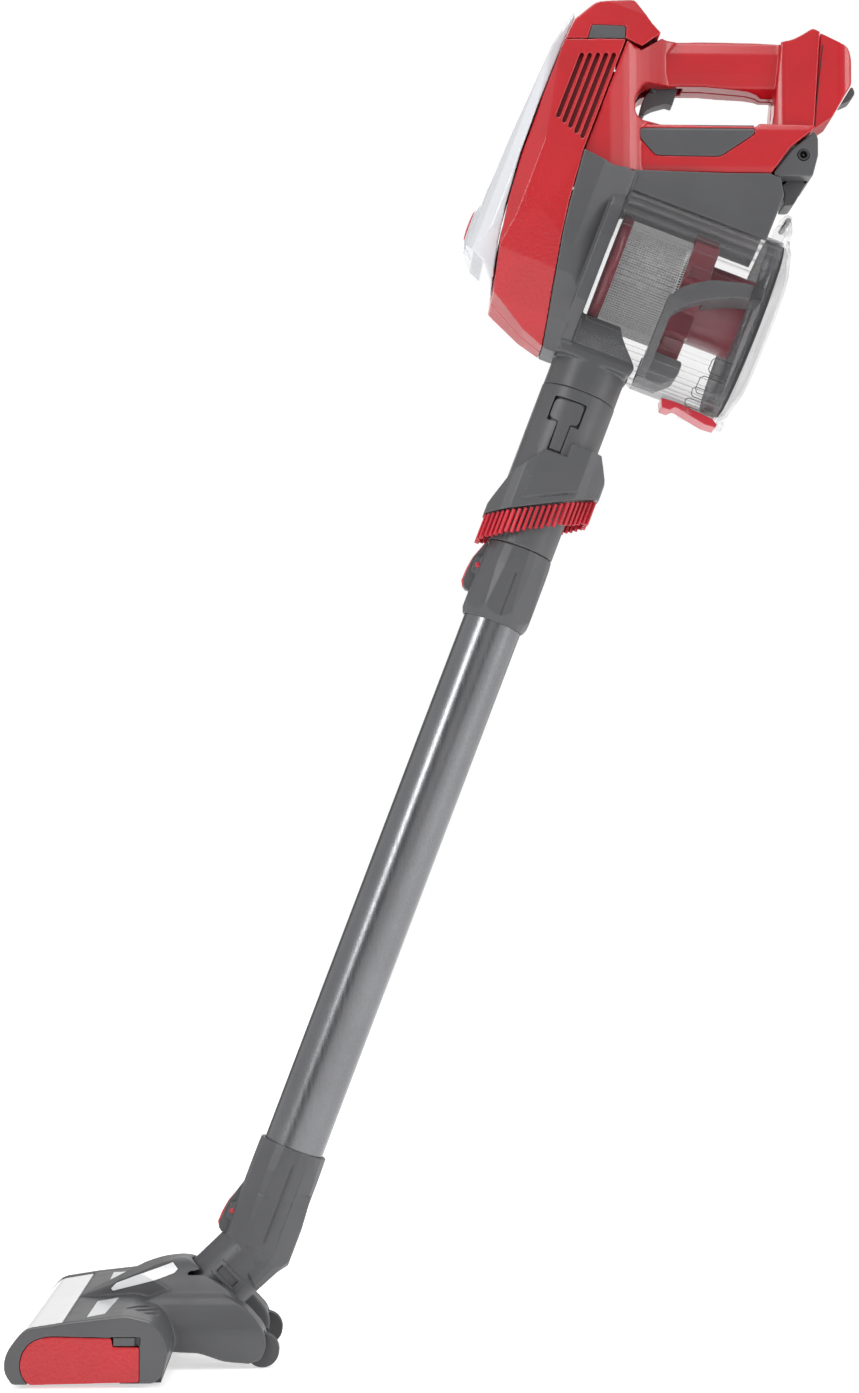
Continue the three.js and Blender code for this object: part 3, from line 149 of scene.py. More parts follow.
def zone_mask(tree, position, planes, soft=0.0002):
    """1 inside every plane (point in metres, outward direction), 0 outside, with a crisp soft edge."""
    result = None
    for point, outward in planes:
        offset = tree.nodes.new("ShaderNodeVectorMath")
        offset.operation = "SUBTRACT"
        tree.links.new(position, offset.inputs[0])
        offset.inputs[1].default_value = point
        dot = tree.nodes.new("ShaderNodeVectorMath")
        dot.operation = "DOT_PRODUCT"
        tree.links.new(offset.outputs["Vector"], dot.inputs[0])
        dot.inputs[1].default_value = Vector(outward).normalized()
        inside = spread(tree, dot.outputs["Value"], 1.0, 0.0, -soft, soft)
        if result is None:
            result = inside
        else:
            both = tree.nodes.new("ShaderNodeMath")
            both.operation = "MULTIPLY"
            tree.links.new(result, both.inputs[0])
            tree.links.new(inside, both.inputs[1])
            result = both.outputs["Value"]
    return result


def combined(tree, masks):
    """The largest of several masks."""
    result = masks[0]
    for mask in masks[1:]:
        either = tree.nodes.new("ShaderNodeMath")
        either.operation = "MAXIMUM"
        tree.links.new(result, either.inputs[0])
        tree.links.new(mask, either.inputs[1])
        result = either.outputs["Value"]
    return result


def zoned_copy(look, zones, color, rough):
    """Copy of a look with a second, smoother colour inside the zones and a dark seam round them."""
    material = LOOKS[look].copy()
    tree, nodes, links = nodes_of(material)
    shader = nodes["Principled BSDF"]
    position = nodes.new("ShaderNodeNewGeometry").outputs["Position"]
    inner = combined(tree, [zone_mask(tree, position, planes) for planes in zones])
    seam_width = 0.6 * MM
    seams = [[(Vector(point) + Vector(outward).normalized() * seam_width, outward)
              for point, outward in planes] for planes in zones]
    outer = combined(tree, [zone_mask(tree, position, planes) for planes in seams])
    for socket, second, seam in (("Base Color", color, (0.01, 0.01, 0.01)), ("Roughness", rough, 0.5)):
        base = shader.inputs[socket].links[0].from_socket
        if socket == "Base Color":
            base = mixed(tree, outer, base, seam)
            base = mixed(tree, inner, base, second)
        else:
            blend = nodes.new("ShaderNodeMix")
            blend.inputs["B"].default_value = second
            links.new(inner, blend.inputs["Factor"])
            links.new(base, blend.inputs["A"])
            base = blend.outputs["Result"]
        links.new(base, shader.inputs[socket])
    return material


def prism_zone(corners, low, high, axis):
    """Planes of a convex column with these corners (mm), seen along an axis, between two levels."""
    others = [i for i in range(3) if i != axis]
    centre = [sum(c[k] for c in corners) / len(corners) for k in (0, 1)]
    planes = []
    for a, b in zip(corners, corners[1:] + corners[:1]):
        normal = [b[1] - a[1], a[0] - b[0]]
        if (a[0] - centre[0]) * normal[0] + (a[1] - centre[1]) * normal[1] < 0:
            normal = [-normal[0], -normal[1]]
        point, outward = [0.0, 0.0, 0.0], [0.0, 0.0, 0.0]
        for k, i in enumerate(others):
            point[i] = a[k] * MM
            outward[i] = normal[k]
        planes.append((tuple(point), tuple(outward)))
    for value, sign in ((low, -1), (high, 1)):
        point, outward = [0.0, 0.0, 0.0], [0.0, 0.0, 0.0]
        point[axis] = value * MM
        outward[axis] = sign
        planes.append((tuple(point), tuple(outward)))
    return planes


def finish(name, color, rough, grain=0.0, grain_scale=900, metallic=0.0, coat=0.0, vary=0.08,
           edge_lift=0.0, specular=0.5, stretch=None, leather=0.0, alpha=None, marks=0.03):
    """Moulded, painted or metal surface: mottled colour, uneven gloss, grain, marks and lighter convex edges.
    """
    material = bpy.data.materials.new(name)
    material.use_nodes = True
    tree, nodes, links = nodes_of(material)
    shader = nodes["Principled BSDF"]
    shader.inputs["Metallic"].default_value = metallic
    shader.inputs["Coat Weight"].default_value = coat
    shader.inputs["Coat Roughness"].default_value = 0.12
    shader.inputs["Specular IOR Level"].default_value = specular
    coords = nodes.new("ShaderNodeTexCoord").outputs["Object"]
    broad = noise(tree, coords, 22, 4)
    dark = tuple(c * (1 - vary) for c in color)
    light = tuple(min(1, c * (1 + vary)) for c in color)
    tint = mixed(tree, spread(tree, broad, 0, 1), dark, light)
    if edge_lift:
        # Colour made lighter along convex edges, by pointiness.
        edge = nodes.new("ShaderNodeNewGeometry").outputs["Pointiness"]
        edge_tint = tuple(min(1, c * 1.5 + 0.05) for c in color)
        tint = mixed(tree, spread(tree, edge, 0, edge_lift, 0.52, 0.6), tint, edge_tint)
    links.new(tint, shader.inputs["Base Color"])
    streaks = noise(tree, coords, 60, 6, 0.65, stretch)
    links.new(spread(tree, streaks, rough - marks, rough + marks * 2), shader.inputs["Roughness"])
    height = noise(tree, coords, grain_scale, 2, 0.5, stretch)
    bump = nodes.new("ShaderNodeBump")
    bump.inputs["Distance"].default_value = 0.0004
    bump.inputs["Strength"].default_value = grain
    links.new(height, bump.inputs["Height"])
    normal = bump.outputs["Normal"]
    if leather:
        cells = nodes.new("ShaderNodeTexVoronoi")
        cells.feature = "SMOOTH_F1"
        cells.inputs["Scale"].default_value = 520
        links.new(coords, cells.inputs["Vector"])
        split = nodes.new("ShaderNodeSeparateXYZ")
        links.new(coords, split.inputs["Vector"])
        mask = spread(tree, split.outputs["Z"], leather, 0.0, 0.86, 0.875)
        second = nodes.new("ShaderNodeBump")
        second.inputs["Distance"].default_value = 0.0006
        links.new(mask, second.inputs["Strength"])
        links.new(cells.outputs["Distance"], second.inputs["Height"])
        links.new(normal, second.inputs["Normal"])
        normal = second.outputs["Normal"]
    links.new(normal, shader.inputs["Normal"])
    if alpha:
        facing = nodes.new("ShaderNodeLayerWeight")
        facing.inputs["Blend"].default_value = 0.35
        links.new(spread(tree, facing.outputs["Facing"], *alpha, 0.1, 0.95), shader.inputs["Alpha"])
    return material


RED = (0.45, 0.005, 0.011)
GREY = (0.078, 0.079, 0.083)
LOOKS = {
    "red_shell": finish("red shell", RED, 0.32, 0.05, 1400, coat=0.3, edge_lift=0.25, leather=0.6),
    "red_trim": finish("red trim", (0.5, 0.012, 0.03), 0.3, 0.05, coat=0.3, edge_lift=0.2),
    "bristles": finish("bristles", (0.5, 0.015, 0.03), 0.42, 0.2, 2500, vary=0.25),
    "silver_cover": finish("pearl cover", (0.64, 0.65, 0.68), 0.22, 0.02, coat=0.5, vary=0.02),
    "charcoal": finish("charcoal", GREY, 0.38, 0.12, 1500, vary=0.07, edge_lift=0.35),
    "dark_plastic": finish("dark plastic", (0.025, 0.025, 0.027), 0.5, 0.15, 1500, edge_lift=0.2),
    "rubber": finish("rubber", (0.022, 0.022, 0.023), 0.7, 0.25, 1200),
    "tyre": finish("tyre", (0.06, 0.06, 0.063), 0.62, 0.3, 1100, edge_lift=0.2),
    "clear_plastic": finish("clear plastic", (0.3, 0.3, 0.31), 0.05, 0.01, vary=0.03, alpha=(0.04, 0.4),
                            specular=0.6, marks=0.01),
    "wine_plastic": finish("wine plastic", (0.17, 0.006, 0.018), 0.3, 0.06, coat=0.2),
    "white_plastic": finish("white plastic", (0.82, 0.81, 0.81), 0.4, 0.08, vary=0.04),
    "filter": finish("filter", (0.5, 0.5, 0.5), 0.9, 0.6, 900, vary=0.12),
    "wand_metal": finish("wand metal", (0.2, 0.202, 0.21), 0.24, 0.05, 300, metallic=1.0, vary=0.05,
                         stretch=(9, 9, 0.25), marks=0.04),
    "motor_metal": finish("motor metal", (0.4, 0.4, 0.41), 0.38, 0.15, metallic=1.0),
    "steel": finish("steel", (0.5, 0.5, 0.52), 0.25, 0.08, metallic=1.0),
    "cells": finish("cell wrap", (0.04, 0.12, 0.3), 0.35, 0.05),
    "board": finish("board", (0.01, 0.1, 0.035), 0.4, 0.2),
    "brush": finish("brush", (0.035, 0.035, 0.04), 0.7, 0.5, 1600, vary=0.25),
    "window": finish("head window", (0.96, 0.95, 0.95), 0.1, 0.01, coat=0.3, vary=0.02,
                     alpha=(0.85, 0.98)),
    # Casing red darkened: painted shade for the plate seen through the vent slots.
    "vent_red": finish("shaded vent red", (0.16, 0.004, 0.007), 0.5, 0.1),
    "dark_shell": finish("dark shell", (0.03, 0.03, 0.032), 0.4, 0.1, 1500),
    "smoke": finish("smoky plastic", (0.05, 0.05, 0.055), 0.14, 0.02, vary=0.05, alpha=(0.62, 0.95)),
    "shadow": finish("recess", (0.008, 0.008, 0.009), 0.6, 0.1),
}
WHITE_GLOSS = (0.86, 0.87, 0.88)
# Painted glow: the head window and the white plastic shine with light of their own, though neither is a lamp.
glow(LOOKS["window"], 0.12)
glow(LOOKS["white_plastic"], 0.1)


# ---------------------------------------------------------------- pieces
def dress(obj, body, look, stands_for=()):
    obj.data.materials.clear()
    obj.data.materials.append(LOOKS[look])
    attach(obj, body)
    if stands_for:
        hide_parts(*stands_for)
    return obj


def piece(name, mesh):
    obj = bpy.data.objects.new(name, mesh)
    bpy.context.scene.collection.objects.link(obj)
    return obj


def from_bmesh(name, bm, smooth=True):
    bmesh.ops.recalc_face_normals(bm, faces=bm.faces)
    mesh = bpy.data.meshes.new(name)
    bm.to_mesh(mesh)
    bm.free()
    mesh.polygons.foreach_set("use_smooth", [smooth] * len(mesh.polygons))
    return piece(name, mesh)


def applied(obj):
    """Replaces the object's mesh by its evaluated one and drops the modifiers."""
    graph = bpy.context.evaluated_depsgraph_get()
    mesh = bpy.data.meshes.new_from_object(obj.evaluated_get(graph))
    obj.modifiers.clear()
    obj.data = mesh
    return obj


def box_mesh(centre, size, axes=Matrix.Identity(4), taper=1.0):
    """Block of a size (mm) at a centre (m), turned by a matrix; its far end can taper."""
    bm = bmesh.new()
    bmesh.ops.create_cube(bm, size=1)
    for vert in bm.verts:
        narrow = taper if vert.co.z > 0 else 1.0
        x, y, z = vert.co
        vert.co = Vector((x * size[0] * narrow, y * size[1] * narrow, z * size[2])) * MM
    bm.transform(Matrix.Translation(centre) @ axes)
    return bm


def cutter(bm):
    mesh = bpy.data.meshes.new("cutter")
    bm.to_mesh(mesh)
    bm.free()
    return piece("cutter", mesh)


def profile_radius(profile, along):
    heights = [p[0] for p in profile]
    radii = [p[1] for p in profile]
    return np.interp(along, heights, radii, left=0, right=0)


def rounded(obj, origin, axis, profile, slack=0.03):
    """Draws facets of a round stretch out to their true radius; profile is (height, radius) in mm."""
    mesh = obj.data
    count = len(mesh.vertices)
    points = np.empty(count * 3, dtype=np.float32)
    mesh.vertices.foreach_get("co", points)
    points = points.reshape(-1, 3).astype(np.float64)
    axis = np.array(axis.normalized())
    offset = points - np.array(origin)
    along = offset @ axis
    radial = offset - np.outer(along, axis)
    distance = np.linalg.norm(radial, axis=1)
    target = profile_radius(profile, along / MM) * MM
    near = (target > 0) & (distance > target * (1 - slack)) & (distance < target * 1.002)
    scale = np.where(near, target / np.maximum(distance, 1e-9), 1.0)
    points += radial * (scale - 1)[:, None]
    mesh.vertices.foreach_set("co", points.astype(np.float32).ravel())
    mesh.update()


def refined(node, look=None, voxel=0.8, soften=3, rounds=(), cuts=(), adds=()):
    """Fine copy of a CAD node with softened edges, true rounds and cut details, which stands for it."""
    obj = piece(f"{node}_skin", frame["nodes"][node].data.copy())
    tools = [(bm, "DIFFERENCE") for bm in cuts] + [(bm, "UNION") for bm in adds]
    used = []
    for bm, operation in tools:
        tool = cutter(bm)
        used.append(tool)
        modifier = obj.modifiers.new("tool", "BOOLEAN")
        modifier.operation = operation
        modifier.object = tool
        modifier.solver = "EXACT"
    remesh = obj.modifiers.new("fine", "REMESH")
    remesh.mode = "VOXEL"
    remesh.voxel_size = voxel * MM
    applied(obj)
    for tool in used:
        bpy.data.objects.remove(tool)
    for ring in rounds:
        rounded(obj, *ring)
    smooth = obj.modifiers.new("soft", "SMOOTH")
    smooth.iterations = soften
    smooth.factor = 0.5
    applied(obj)
    for ring in rounds:
        rounded(obj, *ring, 0.012)
    obj.data.polygons.foreach_set("use_smooth", [True] * len(obj.data.polygons))
    return dress(obj, BODY_OF[node], look or SLOT_OF[node], (node,))


def lathe(name, origin, axis, profile, steps=96):
    """Closed turned mesh from (height, radius) points in mm; it closes on the axis or on itself."""
    side = axis.orthogonal().normalized()
    bm = bmesh.new()
    loop = []
    for height, radius in profile:
        if radius < 1e-6:
            loop.append([bm.verts.new(origin + axis * height * MM)])
            continue
        ring = []
        for i in range(steps):
            turn = Matrix.Rotation(2 * math.pi * i / steps, 3, axis)
            ring.append(bm.verts.new(origin + axis * height * MM + turn @ side * radius * MM))
        loop.append(ring)
    closed = len(loop[0]) > 1
    pairs = list(zip(loop, loop[1:])) + ([(loop[-1], loop[0])] if closed else [])
    for low, high in pairs:
        for i in range(steps):
            j = (i + 1) % steps
            corners = [low[i % len(low)], low[j % len(low)], high[j % len(high)], high[i % len(high)]]
            unique = list(dict.fromkeys(corners))
            if len(unique) > 2:
                bm.faces.new(unique)
    return from_bmesh(name, bm)


def sharpened(obj, angle=30):
    """Keeps crisp normals where faces meet at more than an angle."""
    obj.data.set_sharp_from_angle(angle=math.radians(angle))
    return obj


def tube_path(name, points, radius, closed=False, sides=10):
    """Thin round bead along points."""
    curve = bpy.data.curves.new(name, "CURVE")
    curve.dimensions = "3D"
    curve.bevel_depth = radius * MM
    curve.bevel_resolution = sides // 4
    curve.use_fill_caps = True
    spline = curve.splines.new("POLY")
    spline.points.add(len(points) - 1)
    for target, point in zip(spline.points, points):
        target.co = (*point, 1)
    spline.use_cyclic_u = closed
    obj = piece(name, curve)
    graph = bpy.context.evaluated_depsgraph_get()
    mesh = bpy.data.meshes.new_from_object(obj.evaluated_get(graph))
    bpy.data.objects.remove(obj)
    mesh.polygons.foreach_set("use_smooth", [True] * len(mesh.polygons))
    return piece(name, mesh)


# ---------------------------------------------------------------- camera, light and floor
def studio_world():
    """White backdrop for the eye; tall light and dark panels round the studio for the reflections."""
    world = bpy.data.worlds.new("studio")
    world.use_nodes = True
    tree, nodes, links = nodes_of(world)
    split = nodes.new("ShaderNodeSeparateXYZ")
    links.new(nodes.new("ShaderNodeTexCoord").outputs["Generated"], split.inputs["Vector"])
    place = spread(tree, split.outputs["X"], 0, 1, -1, 1)
    ramp = nodes.new("ShaderNodeValToRGB")
    panels = [(0.0, 0.75), (0.14, 0.85), (0.2, 0.2), (0.36, 0.24), (0.44, 0.72), (0.6, 0.72), (0.65, 0.14),
              (0.7, 0.14), (0.76, 0.75), (1.0, 0.8)]
    ramp.color_ramp.elements.remove(ramp.color_ramp.elements[1])
    ramp.color_ramp.elements[0].position = panels[0][0]
    ramp.color_ramp.elements[0].color = (panels[0][1],) * 3 + (1,)
    for position, value in panels[1:]:
        ramp.color_ramp.elements.new(position).color = (value,) * 3 + (1,)
    links.new(place, ramp.inputs["Fac"])
    eye = nodes.new("ShaderNodeLightPath").outputs["Is Camera Ray"]
    links.new(mixed(tree, eye, ramp.outputs["Color"], (1.0, 1.0, 1.0)), nodes["Background"].inputs["Color"])
    return world


def stage():
    camera = bpy.data.objects.new("camera", bpy.data.cameras.new("camera"))
    camera.data.sensor_width = 36
    camera.data.lens = CAMERA_LENS
    camera.location = CAMERA_PLACE
    camera.rotation_euler = (math.radians(CAMERA_PITCH), 0, math.radians(CAMERA_YAW))
    bpy.context.scene.collection.objects.link(camera)
    bpy.context.scene.camera = camera

    bpy.context.scene.world = studio_world()
    bpy.context.scene.view_settings.view_transform = "Standard"

    bm = bmesh.new()
    bmesh.ops.create_grid(bm, x_segments=1, y_segments=1, size=6)
    floor = from_bmesh("floor", bm, smooth=False)
    floor.location.z = -0.0005
    paper = finish("floor", (0.9, 0.9, 0.9), 0.7, 0.02, 60, vary=0.01)
    glow(paper, 0.58)
    floor.data.materials.append(paper)

    def softbox(name, place, target, size, power):
        light = bpy.data.lights.new(name, "AREA")
        light.shape = "RECTANGLE"
        light.size, light.size_y = size
        light.energy = power
        obj = bpy.data.objects.new(name, light)
        obj.location = place
        obj.rotation_euler = (Vector(target) - Vector(place)).to_track_quat("-Z", "Y").to_euler()
        bpy.context.scene.collection.objects.link(obj)

    softbox("key", (-1.5, -1.9, 1.7), (0.2, 0, 0.6), (0.5, 1.6), 26)
    softbox("side", (2.4, -0.9, 1.2), (0.3, 0, 0.6), (0.4, 2.0), 14)
    softbox("top", (0.2, -0.3, 2.8), (0.3, 0, 0.6), (1.4, 1.0), 16)
    softbox("back", (0.4, 2.2, 1.4), (0.3, 0, 0.6), (1.6, 1.2), 6)


stage()


# ---------------------------------------------------------------- handheld unit
def vent_screen(side):
    """Thin slanted plate inside the casing wall that closes the vent slots from behind; its dark red is the
    casing red with painted shade, standing in for the shadowed inside of the slots.
    """
    bm = bmesh.new()
    wall = 1.2
    outline = [(-95, 756, 51.5), (-64, 748, 53.2), (-64, 836, 37), (-95, 824, 38.5)]
    outer = [bm.verts.new(leaned(v, w, side * y)) for v, w, y in outline]
    inner = [bm.verts.new(leaned(v, w, side * (y - wall))) for v, w, y in outline]
    bm.faces.new(outer)
    bm.faces.new(list(reversed(inner)))
    for i in range(4):
        j = (i + 1) % 4
        bm.faces.new([outer[i], inner[i], inner[j], outer[j]])
    screen = from_bmesh(f"vent_screen_{'left' if side < 0 else 'right'}", bm, False)
    dress(screen, "main_unit", "vent_red")


def casings():
    for node in ("casing_left", "casing_right"):
        refined(node, voxel=0.8, soften=2)
    refined("top_cap", voxel=0.8, soften=2)
    refined("cover_latch_left", voxel=0.5)
    refined("cover_latch_right", voxel=0.5)
    refined("front_cover", voxel=0.8, soften=5)
    badge_profile = [(-3, 0), (-2.9, 6), (-2.4, 10.5), (-1.6, 12.4), (-0.6, 13), (0, 12.8), (0, 0)]
    badge = lathe("front_badge_skin", leaned(-122.4, BIN_AXIS), REARWARD, badge_profile)
    dress(badge, "front_cover", "red_trim", stands_for=("front_badge",))
    for side in (-1, 1):
        vent_screen(side)


def rear_casing():
    axis_low = leaned(0, 0)
    pipe = (axis_low, UP_WAND, [(456, 25), (580, 25), (581, 28.6), (606, 28.6)])
    refined("casing_rear", voxel=0.9, soften=3, rounds=[pipe])


def handles():
    for node in ("handle_left", "handle_right"):
        refined(node, voxel=0.8, soften=7)
    refined("bridge_cover", voxel=0.6, soften=2)
    refined("trigger", voxel=0.5, soften=3)
    refined("battery_case", voxel=0.7, soften=2)
    refined("battery_latch", voxel=0.5, soften=2)
    refined("crevice_cap", voxel=0.7, soften=3)
    refined("crevice_tab", voxel=0.4, soften=3)
    for side in (-1, 1):
        points = [level(107.3, 17, side * 20.15), level(115, 82.5, side * 20.15)]
        line = tube_path(f"tool_seam_{'left' if side < 0 else 'right'}", points, 0.4)
        dress(line, "main_unit", "shadow")


casings()
rear_casing()
handles()


# ---------------------------------------------------------------- dust bin
def screen_mesh(name, radius, start, end, rings, around):
    """Perforated cylinder: a square grid with a hole in each cell."""
    bm = bmesh.new()
    rows = []
    for i in range(rings + 1):
        at = start + (end - start) * i / rings
        row = []
        for j in range(around):
            angle = 2 * math.pi * j / around
            point = leaned(at, CYCLONE_AXIS)
            out = SIDEWAYS * math.cos(angle) + UP_WAND * math.sin(angle)
            row.append(bm.verts.new(point + out * radius * MM))
        rows.append(row)
    cells = []
    for i in range(rings):
        for j in range(around):
            k = (j + 1) % around
            cells.append(bm.faces.new([rows[i][j], rows[i][k], rows[i + 1][k], rows[i + 1][j]]))
    bmesh.ops.inset_individual(bm, faces=cells, thickness=0.58 * MM)
    bmesh.ops.delete(bm, geom=cells, context="FACES_ONLY")
    obj = from_bmesh(name, bm)
    skin = obj.modifiers.new("wall", "SOLIDIFY")
    skin.thickness = 0.9 * MM
    return applied(obj)


def pleated_filter():
    """Star-folded filter inside the shroud."""
    bm = bmesh.new()
    ends = []
    for at in (-10.6, 37.6):
        row = []
        for i in range(2 * FOLD_COUNT):
            angle = math.pi * i / FOLD_COUNT
            out = SIDEWAYS * math.cos(angle) + UP_WAND * math.sin(angle)
            radius = 35.4 if i % 2 else 31.5
            row.append(bm.verts.new(leaned(at, CYCLONE_AXIS) + out * radius * MM))
        ends.append(row)
    for i in range(2 * FOLD_COUNT):
        j = (i + 1) % (2 * FOLD_COUNT)
        bm.faces.new([ends[0][i], ends[0][j], ends[1][j], ends[1][i]])
    bm.faces.new(list(reversed(ends[0])))
    bm.faces.new(ends[1])
    pleats = from_bmesh("bin_filter_skin", bm, smooth=False)
    dress(pleats, "bin", "filter", stands_for=("bin_filter",))


def rib_shade_lines():
    """Fine dark lines along the moulded ribs on both sides of the clear wall, painted shade standing in for
    the dark edges of the clear ribs.
    """
    for level_up, low, high in ((0, 79, 96), (13, 82, 97)):
        for side in (-1, 1):
            points = []
            for v, w in ((high, 611), (low + 2, 611), (low, 613), (low, 619), (low + 2, 621), (high, 621)):
                drop = w + level_up - BIN_AXIS
                reach = math.sqrt((BIN_INSIDE - 0.2) ** 2 - drop ** 2)
                points.append(leaned(v, w + level_up, side * reach))
            rib_shade = tube_path(f"rib_{low}_{'left' if side < 0 else 'right'}", points, 0.35)
            # Dark bead of painted shade along one edge of a clear rib.
            dress(rib_shade, "bin", "dark_shell")


def dust_bin():
    axis_at = leaned(0, BIN_AXIS)
    cyclone_at = leaned(0, CYCLONE_AXIS)
    barrel = [(-19.5, BIN_RADIUS), (103, BIN_RADIUS)]
    lining = [(-19.5, BIN_INSIDE), (103, BIN_INSIDE)]
    refined("bin_cup", voxel=0.8, soften=2, rounds=[(axis_at, REARWARD, barrel), (axis_at, REARWARD, lining)])
    door_rim = [(103, 74.4), (107, 74.4)]
    refined("bin_door", voxel=0.8, soften=3, rounds=[(axis_at, REARWARD, door_rim)])
    seal = lathe("door_seal_skin", axis_at, REARWARD,
                 [(100.2, 64.2), (100.2, 68.6), (104.8, 68.6), (105.3, 66.5), (104.8, 64.2)])
    dress(seal, "bin_door", "rubber", stands_for=("door_seal",))
    refined("door_latch", voxel=0.5, soften=2)
    cone = [(61, 31), (97.5, 31)]
    refined("cyclone_cone", voxel=0.8, soften=2, rounds=[(cyclone_at, REARWARD, cone)])
    refined("inlet_duct", voxel=0.8, soften=3)
    screen = screen_mesh("shroud_skin", 41.8, -12, 40, 26, 130)
    dress(screen, "bin", "white_plastic", stands_for=("shroud",))
    rim = lathe("shroud_rim", cyclone_at, REARWARD,
                [(-16.6, 38.4), (-16.6, 44.6), (-12.2, 44.6), (-8, 42.3), (-8, 41), (-12.2, 38.4)])
    dress(rim, "bin", "wine_plastic")
    pleated_filter()
    band = lathe("smoke_band", axis_at, REARWARD,
                 [(91, 69.2), (91, 69.7), (102.4, 69.7), (102.4, 69.2)])
    dress(band, "bin", "smoke")
    rib_shade_lines()


dust_bin()


# ---------------------------------------------------------------- nozzle, wand and neck
def bristles():
    """Flat red tufts hanging from the slanted collar."""
    plan = [(-36, -16), (-20, -30), (24, -31.5), (42, -16), (42, 16), (24, 31.5), (-20, 30), (-36, 16)]
    bm = bmesh.new()
    corners = [Vector((v, y)) for v, y in plan]
    lengths = [(corners[i] - corners[i - 1]).length for i in range(len(corners))]
    total = sum(lengths)
    for i in range(TUFT_COUNT):
        run = total * i / TUFT_COUNT
        k = 0
        while run > lengths[k]:
            run -= lengths[k]
            k += 1
        a, b = corners[k - 1], corners[k]
        spot = a.lerp(b, run / lengths[k])
        spot -= spot.normalized() * 3.2
        outward = spot.normalized()
        top = 473 + (spot.x + 29) * (510 - 473) / 70.4 - 0.6
        low = 450.2 + (spot.x + 34) * (489.6 - 449.4) / 74.5 + random.uniform(0, TUFT_LENGTH_SPREAD)
        angle = math.atan2(outward.y, outward.x)
        axes = LEANED_AXES @ Matrix.Rotation(angle, 4, "Z")
        centre = leaned(spot.x, (top + low) / 2, spot.y)
        tuft = box_mesh(centre, (3.0, 2.3, top - low), axes)
        mesh = bpy.data.meshes.new("tuft")
        tuft.to_mesh(mesh)
        tuft.free()
        bm.from_mesh(mesh)
    tufts = from_bmesh("bristle_ring_skin", bm, smooth=False)
    bevel = tufts.modifiers.new("edge", "BEVEL")
    bevel.width = 0.3 * MM
    bevel.segments = 2
    dress(applied(tufts), "main_unit", "bristles", stands_for=("bristle_ring",))


def socket_recesses(spans, reach):
    """Long shallow recesses along the faces of a socket: (v, low, high) on both sides."""
    cuts = []
    for side in (-1, 1):
        for v, low, high in spans:
            depth = reach - max(0, v - 10.6) * 0.9
            centre = leaned(v, (low + high) / 2, side * depth)
            cuts.append(box_mesh(centre, (1.6, 2.4, high - low), LEANED_AXES))
    return cuts


def curved_plate(across, low, high, radii=(26.2, 29)):
    """Piece of the sleeve wall between two v positions on the left side."""
    bm = bmesh.new()
    steps = 8
    sections = []
    for i in range(steps + 1):
        v = across[0] + (across[1] - across[0]) * i / steps
        angle = math.asin(v / radii[1])
        ring = []
        for radius, w in ((radii[0], low), (radii[1], low), (radii[1], high), (radii[0], high)):
            ring.append(bm.verts.new(leaned(radius * math.sin(angle), w, -radius * math.cos(angle))))
        sections.append(ring)
    for a, b in zip(sections, sections[1:]):
        for k in range(4):
            bm.faces.new([a[k], b[k], b[(k + 1) % 4], a[(k + 1) % 4]])
    bm.faces.new(list(reversed(sections[0])))
    bm.faces.new(sections[-1])
    bmesh.ops.recalc_face_normals(bm, faces=bm.faces)
    return bm


def nozzle():
    axis_low = leaned(0, 0)
    cheeks = [curved_plate((-17.2, -8.9), 529.4, 552.8), curved_plate((1.9, 8.6), 529.4, 552.8)]
    grooves = []
    for side in (-1, 1):
        axes = LEANED_AXES @ Matrix.Rotation(math.radians(-26), 4, "Y")
        grooves.append(box_mesh(leaned(3, 497, side * 32), (92, 5, 1.5), axes))
    refined("brush_sleeve", voxel=0.6, soften=2, cuts=grooves, adds=cheeks,
            rounds=[(axis_low, UP_WAND, [(541, 29), (580.6, 29)])])
    refined("brush_catch", voxel=0.4, soften=2, rounds=[(axis_low, UP_WAND, [(520, 29), (580, 29)])])
    bristles()
    tube = lathe("wand_tube_skin", axis_low, UP_WAND,
                 [(-72, 21.2), (-72, TUBE_RADIUS), (432, TUBE_RADIUS), (432, 21.2)], 128)
    dress(tube, "wand", "wand_metal", stands_for=("wand_tube",))
    sharpened(tube)
    refined("wand_socket", voxel=0.6, soften=1, cuts=socket_recesses([(3, 402, 436)], 25.8))
    for node in ("upper_button", "lower_button"):
        refined(node, "charcoal", voxel=0.4, soften=2)
    for name, body in (("upper", "wand"), ("lower", "neck")):
        x, z = BUTTON_PIVOTS[name]
        low = BUTTON_FEET[name]
        edge = [(x + 0.2, z + 18), (x - 4.6, z + 5), (x - 6, z - 4), (x - 6.4, low + 6), (x - 3.8, low + 1.6)]
        strip = tube_path(f"{name}_button_strip", [leaned(v, w) for v, w in edge], 1.2)
        strip.data.transform(Matrix.Diagonal((1, 4.2, 1, 1)))
        dress(strip, f"{name}_button", "red_trim")
        dot = lathe(f"{name}_pivot_dot", leaned(x, z), SIDEWAYS,
                    [(-9.6, 0), (-9.6, 1.6), (-9.2, 2.1), (9.2, 2.1), (9.6, 1.6), (9.6, 0)], 32)
        dress(dot, body, "red_trim")


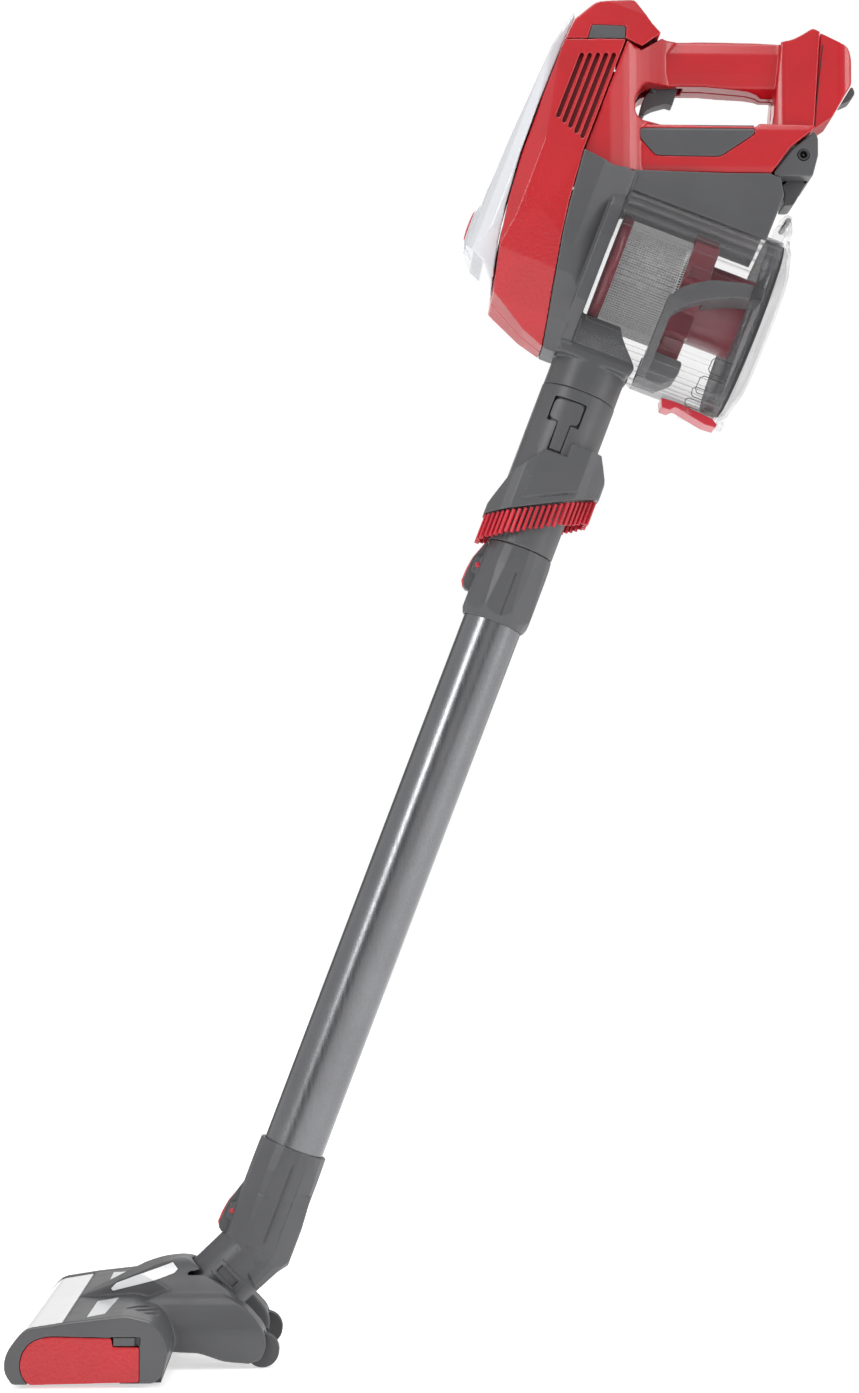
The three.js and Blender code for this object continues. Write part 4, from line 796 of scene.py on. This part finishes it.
def neck():
    axis_low = leaned(0, 0)
    cuts = socket_recesses([(4, -92, -30), (13, -100, -26)], 25.6)
    seam = lathe("seam", axis_low, UP_WAND, [(-59.4, 25.2), (-59.4, 30), (-58.4, 30), (-58.4, 25.2)])
    ring = bmesh.new()
    ring.from_mesh(seam.data)
    bpy.data.objects.remove(seam)
    refined("neck_elbow", voxel=0.6, soften=2, cuts=cuts + [ring], rounds=[
        (PIVOT, NECK_AXIS, [(10.5, 24.5), (46, 24.5)]),
    ])
    refined("neck_clip", voxel=0.4, soften=2)
    refined("yoke", voxel=0.7, soften=3)


nozzle()
neck()


# ---------------------------------------------------------------- floor head
def head():
    cuts = []
    for side in (-1, 1):
        for i in range(3):
            axes = Matrix.Rotation(math.radians(side * 28), 4, "Z")
            cuts.append(box_mesh(Vector((27 + 6.5 * i, side * (70 + 4 * i), 46)) * MM, (2.8, 32, 9), axes))
    # White glossy patches on both sides of the head's front, drawn as a second colour on the charcoal shell.
    patches = [prism_zone([(-7, side * 104), (5, side * 98), (9, side * 30), (-6, side * 36)], 36, 60, 2)
               for side in (-1, 1)]
    strips = [prism_zone([(2, 51.5), (4, 49.2), (22, 55), (47, 62), (51, 66), (47, 70), (24, 63), (6, 55.5)],
                         *sorted((side * 10, side * 60)), 1) for side in (-1, 1)]
    LOOKS["head_shell"] = zoned_copy("charcoal", patches + strips, WHITE_GLOSS, 0.14)
    refined("head_shell", "head_shell", voxel=0.9, soften=5, cuts=cuts)
    refined("window", "window", voxel=0.6, soften=3)
    for node in ("end_cap_left", "end_cap_right", "brush_cover"):
        refined(node, voxel=0.6, soften=3)
    refined("brush_release", voxel=0.3, soften=2)
    inner, outer = WHEEL_SIDES
    treads = [[(low, WHEEL_RADIUS), (high, WHEEL_RADIUS)] for low, high in ((-outer, -inner), (inner, outer))]
    for node in ("rear_wheel_left", "rear_wheel_right"):
        refined(node, voxel=0.5, soften=3, rounds=[(WHEEL_AXLE, SIDEWAYS, tread) for tread in treads])
    refined("brush_roll", voxel=0.7, soften=1)


head()


# ---------------------------------------------------------------- the CAD solids that stay
def finish_rest():
    for name, node in frame["nodes"].items():
        if node.hide_render:
            continue
        node.data.materials.clear()
        node.data.materials.append(LOOKS[SLOT_OF[name]])
        edge = node.modifiers.new("edge", "BEVEL")
        edge.width = 0.25 * MM
        edge.segments = 2
        edge.limit_method = "ANGLE"
        edge.angle_limit = math.radians(35)


finish_rest()
